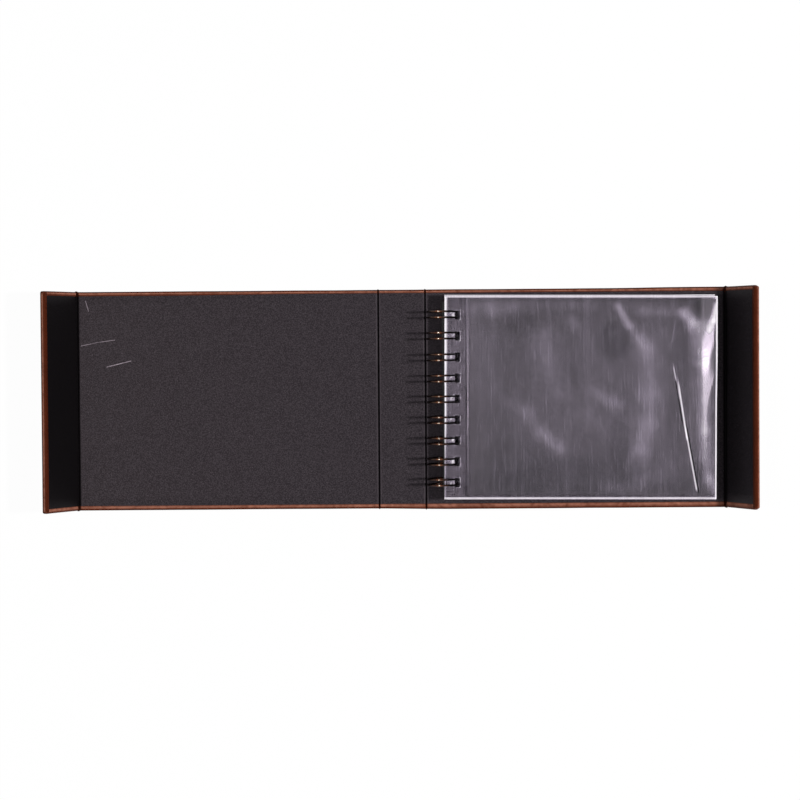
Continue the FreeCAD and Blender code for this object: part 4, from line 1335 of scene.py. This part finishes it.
def add_pocket_leaf(number):
    """Two films, welded at the foot and fore edge and punched for the wire."""
    leaf = bpy.context.scene.album_leaf
    wire = bpy.context.scene.album_wire
    low, high = SLEEVES[number - 1]
    top = number == LEAF_COUNT
    half = -low.y
    lip = high.y - half - 0.0008
    wide = high.x - low.x - (0.00122 if top else 0.0010)
    hidden = 0.0    # a lower leaf starts flush under the top one
    if not top:
        hidden = max(0.0, SLEEVES[-1][0].x + LEAF_SHIFT[0] + 0.0003 - low.x)
    hole_up = 0.0022 if top else 0.0027
    rows = [(k - (wire.loops - 1)/2)*wire.pitch for k in range(wire.loops)]
    # Lower leaves lie in the top leaf's shade, so their edges get less painted highlight.
    white = 1.0 if top else 0.3

    def on_leaf(x, y):
        return leaf_place(x, y, number)

    def punched(x, y):
        return abs(x - HOLE_X) < HOLE_HALF and any(-HOLE_DOWN < y - row < hole_up for row in rows)

    def rim(x, y):
        near = min(math.hypot(max(0.0, abs(x - HOLE_X) - HOLE_HALF),
                              max(0.0, y - row - hole_up, row - y - HOLE_DOWN)) for row in rows)
        return max(0.0, 1.0 - near/HOLE_RIM)

    lines_x = [hidden + x for x in (0.0, 0.0004, 0.0009, 0.0014, 0.0019)]
    lines_x += [HOLE_X - HOLE_HALF, HOLE_X, HOLE_X + HOLE_HALF, HOLE_X + HOLE_HALF + HOLE_RIM]
    lines_x += [WELD_LINE + 0.0004*k for k in range(-2, 3)] + [WELD_BINDING, 0.0160]
    if top:
        lines_x += TIGHT
    lines_x += [wide - x for x in (0.0028, 0.0020, 0.0014, 0.0011, 0.0004, 0.0)]
    lines_x = [x for x in lines_x if x >= hidden]
    lines_y = [y - half for y in (0.0, 0.0009, 0.0017, 0.0021, 0.0028)]
    lines_y += [half - y for y in (0.0020, 0.0014, 0.0010, 0.0004, 0.0)]
    for row in rows:
        lines_y += [row - HOLE_DOWN - HOLE_RIM, row - HOLE_DOWN, row, row + hole_up,
                    row + hole_up + HOLE_RIM]

    def rise(x, y):
        return curl(x, y) if top else 0.0

    def front_level(x, y):
        joined = weld(x, y, wide)
        loose = (1.0 - joined)*(0.00007 if top else 0.00003)*(0.6 + waves(x, y, number))
        down = 0.00022*smooth_step((0.0016 - x)/0.0016)
        return low.z + 0.00060 - 0.00024*joined + loose - down + rise(x, y)

    def back_level(x, y):
        return low.z + leaf.film_thickness + rise(x, y)

    def front_milk_and_glare(x, y):
        amount = face_haze_and_glare(x, y) if top else 0.008
        # Painted highlight along the pocket's mouth.
        band = 0.74*smooth_step((y - half + 0.0010)/0.0004)*white
        between = 0.0
        # Painted highlight on the film between the two wires of a loop.
        if top and 0.0015 < x < HOLE_X - HOLE_HALF and any(abs(y - row) < 0.0013 for row in rows):
            fleck = noise.noise(Vector((x*1100.0, y*1100.0, 5.0)))
            between = 0.11 + 0.75*smooth_step((x - 0.0030)/0.002)*smooth_step(fleck/0.4)
        # Painted highlight on the hole rims, brighter on the side towards the fore edge.
        ring = rim(x, y)*(0.9 if x > HOLE_X + 0.5*HOLE_HALF else 0.35)*white
        ring *= smooth_step(0.35 + 1.6*noise.noise(Vector((x*800.0, y*800.0, 8.0))))
        edge = edge_glare_and_haze(x - hidden, y, wide - hidden, half, top)
        return min(0.97, max(amount, band, between, ring, edge))

    def back_milk_and_glare(x, y):
        # Painted highlight along the back film's lip.
        return max(0.004, 0.70*smooth_step((y - half - 0.0001)/0.0003)*white)

    sheet = {"points": [], "faces": [], "haze_and_glare": [], "gloss": []}
    step = 0.00115 if top else 0.012
    film(sheet, spread_lines(lines_x, step), spread_lines(lines_y, step), on_leaf, front_level,
         lambda x, y: not punched(x, y), front_milk_and_glare)
    back_x = spread_lines(lines_x + [wide - MOUTH_END], 0.004 if top else 0.012)
    back_y = spread_lines(lines_y + [half + 0.0002, half + 0.0005, half + lip], 0.012)
    film(sheet, back_x, back_y, on_leaf, back_level,
         lambda x, y: not punched(x, y) and (y < half or x < wide - MOUTH_END), back_milk_and_glare)
    if top:
        sheet["points"] = [ragged(point) for point in sheet["points"]]
    else:
        inside = low.x + WELD_LINE + 0.0006
        sheet["gloss"] = [0.8 if point[0] > inside else 0.03 for point in sheet["points"]]
    piece = thick_sheet("leaf_%02d_films" % number, sheet, leaf.film_thickness,
                        "top_film" if top else "film")
    dress(piece, "leaf_%02d" % number, "clear_film", "leaf_%02d_sleeve" % number)


def ragged(point):
    """Roughens the top leaf's cut foot near its binding edge and lengthens its lip's far end."""
    x, y, z = point
    low = SLEEVES[-1][0]
    lip = smooth_step((y + low.y - 0.0003)/0.0003)
    y += 0.0004*lip*smooth_step((x - low.x - 0.135)/0.03)
    y += 0.0004*smooth_step((low.y + 0.0009 - y)/0.0006)
    share = smooth_step((low.y + 0.0010 - y)/0.0006)*smooth_step((low.x + 0.075 - x)/0.05)
    return x, y + 0.00045*share*noise.noise(Vector((x*420.0, 0.0, 2.0))), z


def add_pocket_card(number):
    """The black card in a pocket, with rounded corners; the top one follows its leaf's curl."""
    low, high = CARDS[number - 1]
    start = SLEEVES[number - 1][0].x
    left, right = low.x - start, high.x - start
    top = number == LEAF_COUNT
    corner = 0.0008

    def rounded(x, y):
        near_x = min(x - left, right - x)
        near_y = min(y - low.y, high.y - y)
        if near_x < corner and near_y < corner:
            gap_x, gap_y = corner - near_x, corner - near_y
            reach = math.hypot(gap_x, gap_y)
            if reach > corner:
                pull = corner/reach
                x += (gap_x - gap_x*pull)*(1.0 if x - left < right - x else -1.0)
                y += (gap_y - gap_y*pull)*(1.0 if y - low.y < high.y - y else -1.0)
        return leaf_place(x, y, number)

    def level(x, y):
        return high.z - 0.00005 + (curl(x, y) if top else 0.0)

    xs, ys = (spread_lines([start, start + 0.0003, start + corner, end - corner, end - 0.0003,
                            end], 0.0025 if top else 0.02)
              for start, end in ((left, right), (low.y, high.y)))
    sheet = {"points": [], "faces": [], "haze_and_glare": [], "gloss": []}
    film(sheet, xs, ys, rounded, level)
    piece = thick_sheet("leaf_%02d_card" % number, sheet, high.z - low.z - 0.0001, "pocket_card")
    dress(piece, "leaf_%02d" % number, "black_card", "leaf_%02d_insert" % number)


class AlbumAddLeaves(bpy.types.Operator):
    """Add the clear pocket leaves"""
    bl_idname = "album.add_leaves"
    bl_label = "Pocket Leaves"

    def execute(self, context):
        for number in range(1, LEAF_COUNT + 1):
            add_pocket_leaf(number)
        return {"FINISHED"}


class AlbumAddCards(bpy.types.Operator):
    """Put a black card in each pocket"""
    bl_idname = "album.add_cards"
    bl_label = "Pocket Cards"

    def execute(self, context):
        for number in range(1, LEAF_COUNT + 1):
            add_pocket_card(number)
        return {"FINISHED"}


class AlbumAddCarrier(bpy.types.Operator):
    """Soften the board that holds the wire on the back cover"""
    bl_idname = "album.add_carrier"
    bl_label = "Carrier Board"

    def execute(self, context):
        shape = bmesh.new()
        shape.from_mesh(frame["nodes"]["carrier_board"].data)
        bmesh.ops.remove_doubles(shape, verts=shape.verts, dist=0.000001)
        bmesh.ops.dissolve_limit(shape, angle_limit=math.radians(1.0), verts=shape.verts,
                                 edges=shape.edges)
        sharp = [e for e in shape.edges if len(e.link_faces) == 2
                 and e.calc_face_angle(0.0) > math.radians(30.0)]
        bmesh.ops.bevel(shape, geom=sharp, offset=0.00022, segments=3, profile=0.6,
                        affect="EDGES", clamp_overlap=True)
        mesh = bpy.data.meshes.new("carrier_card")
        shape.to_mesh(mesh)
        shape.free()
        finish_mesh(mesh)
        mesh.materials.append(finish("carrier_card"))
        dress(add_object("carrier_card", mesh), "back_cover", "black_card", "carrier_board")
        return {"FINISHED"}


# ---------------------------------------------------------------- stage

def background_rays(tree):
    """1 for rays that show the plain background: straight, mirrored or through the film."""
    path = new_node(tree, "ShaderNodeLightPath").outputs
    bounced = new_node(tree, "ShaderNodeMath", {0: path["Is Glossy Ray"],
                                                1: path["Is Transmission Ray"]},
                       operation="MAXIMUM").outputs[0]
    return new_node(tree, "ShaderNodeMath", {0: path["Is Camera Ray"], 1: bounced},
                    operation="MAXIMUM").outputs[0]


def table_white(colour, glow):
    """A matt white table that stays white to the camera but keeps the album's shadow."""
    f = Finish("table_white")
    body = f.node("ShaderNodeBsdfPrincipled", {"Base Color": (*colour, 1.0), "Roughness": 0.9,
                                               "Specular IOR Level": 0.1})
    light = f.node("ShaderNodeEmission", {"Color": (1.0, 1.0, 1.0, 1.0), "Strength": 1.0})
    share = f.math("MULTIPLY", background_rays(f.tree), glow)
    f.show(f.node("ShaderNodeMixShader", {0: share, 1: body.outputs[0], 2: light.outputs[0]}))
    return f.material


def add_light(name, place, aim, size, power):
    """A soft box at a place, turned to what it aims at."""
    lamp = bpy.data.lights.new(name, "AREA")
    lamp.shape = "RECTANGLE"
    lamp.size, lamp.size_y = size
    lamp.energy = power
    light = bpy.data.objects.new(name, lamp)
    bpy.context.scene.collection.objects.link(light)
    light.location = place
    light.rotation_euler = (Vector(aim) - Vector(place)).to_track_quat("-Z", "Y").to_euler()
    return light


class AlbumAddStage(bpy.types.Operator):
    """Add the table, the soft lights and the camera"""
    bl_idname = "album.add_stage"
    bl_label = "Stage"

    def execute(self, context):
        stage = context.scene.album_stage
        far, level = 4.0, -0.0003
        mesh = bpy.data.meshes.new("table")
        mesh.from_pydata([(-far, -far, level), (far, -far, level), (far, far, level),
                          (-far, far, level)], [], [(0, 1, 2, 3)])
        mesh.materials.append(table_white(stage.floor_colour, 0.97))
        add_object("table", mesh)

        add_light("left_box", (-0.75, -0.04, 1.5), (0.05, 0.0, 0.0), (0.14, 0.4), stage.left)
        key = add_light("right_box", (2.2, 0.06, 2.5), (0.0, 0.0, 0.0), (0.2, 0.2), stage.right)
        key.visible_glossy = False    # the films mirror only the left box

        world = bpy.data.worlds.new("studio")
        context.scene.world = world
        world.use_nodes = True
        tree = world.node_tree
        tree.nodes.clear()
        strength = new_node(tree, "ShaderNodeMapRange", {"Value": background_rays(tree),
                                                         "To Min": stage.around, "To Max": 1.0})
        backdrop = new_node(tree, "ShaderNodeBackground", {"Color": (1.0, 1.0, 1.0, 1.0),
                                                           "Strength": strength.outputs[0]})
        new_node(tree, "ShaderNodeOutputWorld", {"Surface": backdrop.outputs[0]})

        lens = bpy.data.cameras.new("camera")
        lens.lens, lens.sensor_width = 90.0, 36.0
        lens.clip_start, lens.clip_end = 0.05, 50.0
        camera = bpy.data.objects.new("camera", lens)
        context.scene.collection.objects.link(camera)
        camera.location = (0.005246, 0.027121, 1.22808)
        camera.rotation_euler = [math.radians(a) for a in (-1.2939, 0.242, -0.4254)]
        context.scene.camera = camera
        context.scene.view_settings.view_transform = "Standard"
        return {"FINISHED"}


# ---------------------------------------------------------------- panel and registration

class AlbumPanel(bpy.types.Panel):
    """Lists what builds the album"""
    bl_idname = "VIEW3D_PT_album"
    bl_label = "Pocket Album"
    bl_space_type = "VIEW_3D"
    bl_region_type = "UI"
    bl_category = "Album"

    def draw(self, context):
        layout = self.layout
        for settings, operators in PANEL_ROWS:
            box = layout.box()
            group = getattr(context.scene, settings)
            for key in type(group).__annotations__:
                box.prop(group, key)
            for operator in operators:
                box.operator(operator)


PANEL_ROWS = [
    ("album_cover", ["album.add_leather", "album.add_linings", "album.add_folds",
                     "album.finish_hidden"]),
    ("album_wire", ["album.add_wire", "album.add_carrier"]),
    ("album_leaf", ["album.add_leaves", "album.add_cards"]),
    ("album_stage", ["album.add_stage"]),
]

SETTINGS = {
    "album_cover": AlbumCoverSettings,
    "album_wire": AlbumWireSettings,
    "album_leaf": AlbumLeafSettings,
    "album_stage": AlbumStageSettings,
}

OPERATORS = [AlbumAddLeather, AlbumAddLinings, AlbumAddFolds, AlbumFinishHidden, AlbumAddWire,
             AlbumAddCarrier, AlbumAddLeaves, AlbumAddCards, AlbumAddStage]


def register():
    for kind in [*SETTINGS.values(), *OPERATORS, AlbumPanel]:
        bpy.utils.register_class(kind)
    for key, kind in SETTINGS.items():
        setattr(bpy.types.Scene, key, PointerProperty(type=kind))


def unregister():
    for key in SETTINGS:
        delattr(bpy.types.Scene, key)
    for kind in reversed([*SETTINGS.values(), *OPERATORS, AlbumPanel]):
        bpy.utils.unregister_class(kind)


def main():
    register()
    for _, operators in PANEL_ROWS:
        for operator in operators:
            group, name = operator.split(".")
            getattr(getattr(bpy.ops, group), name)()


if __name__ == "__main__":
    main()
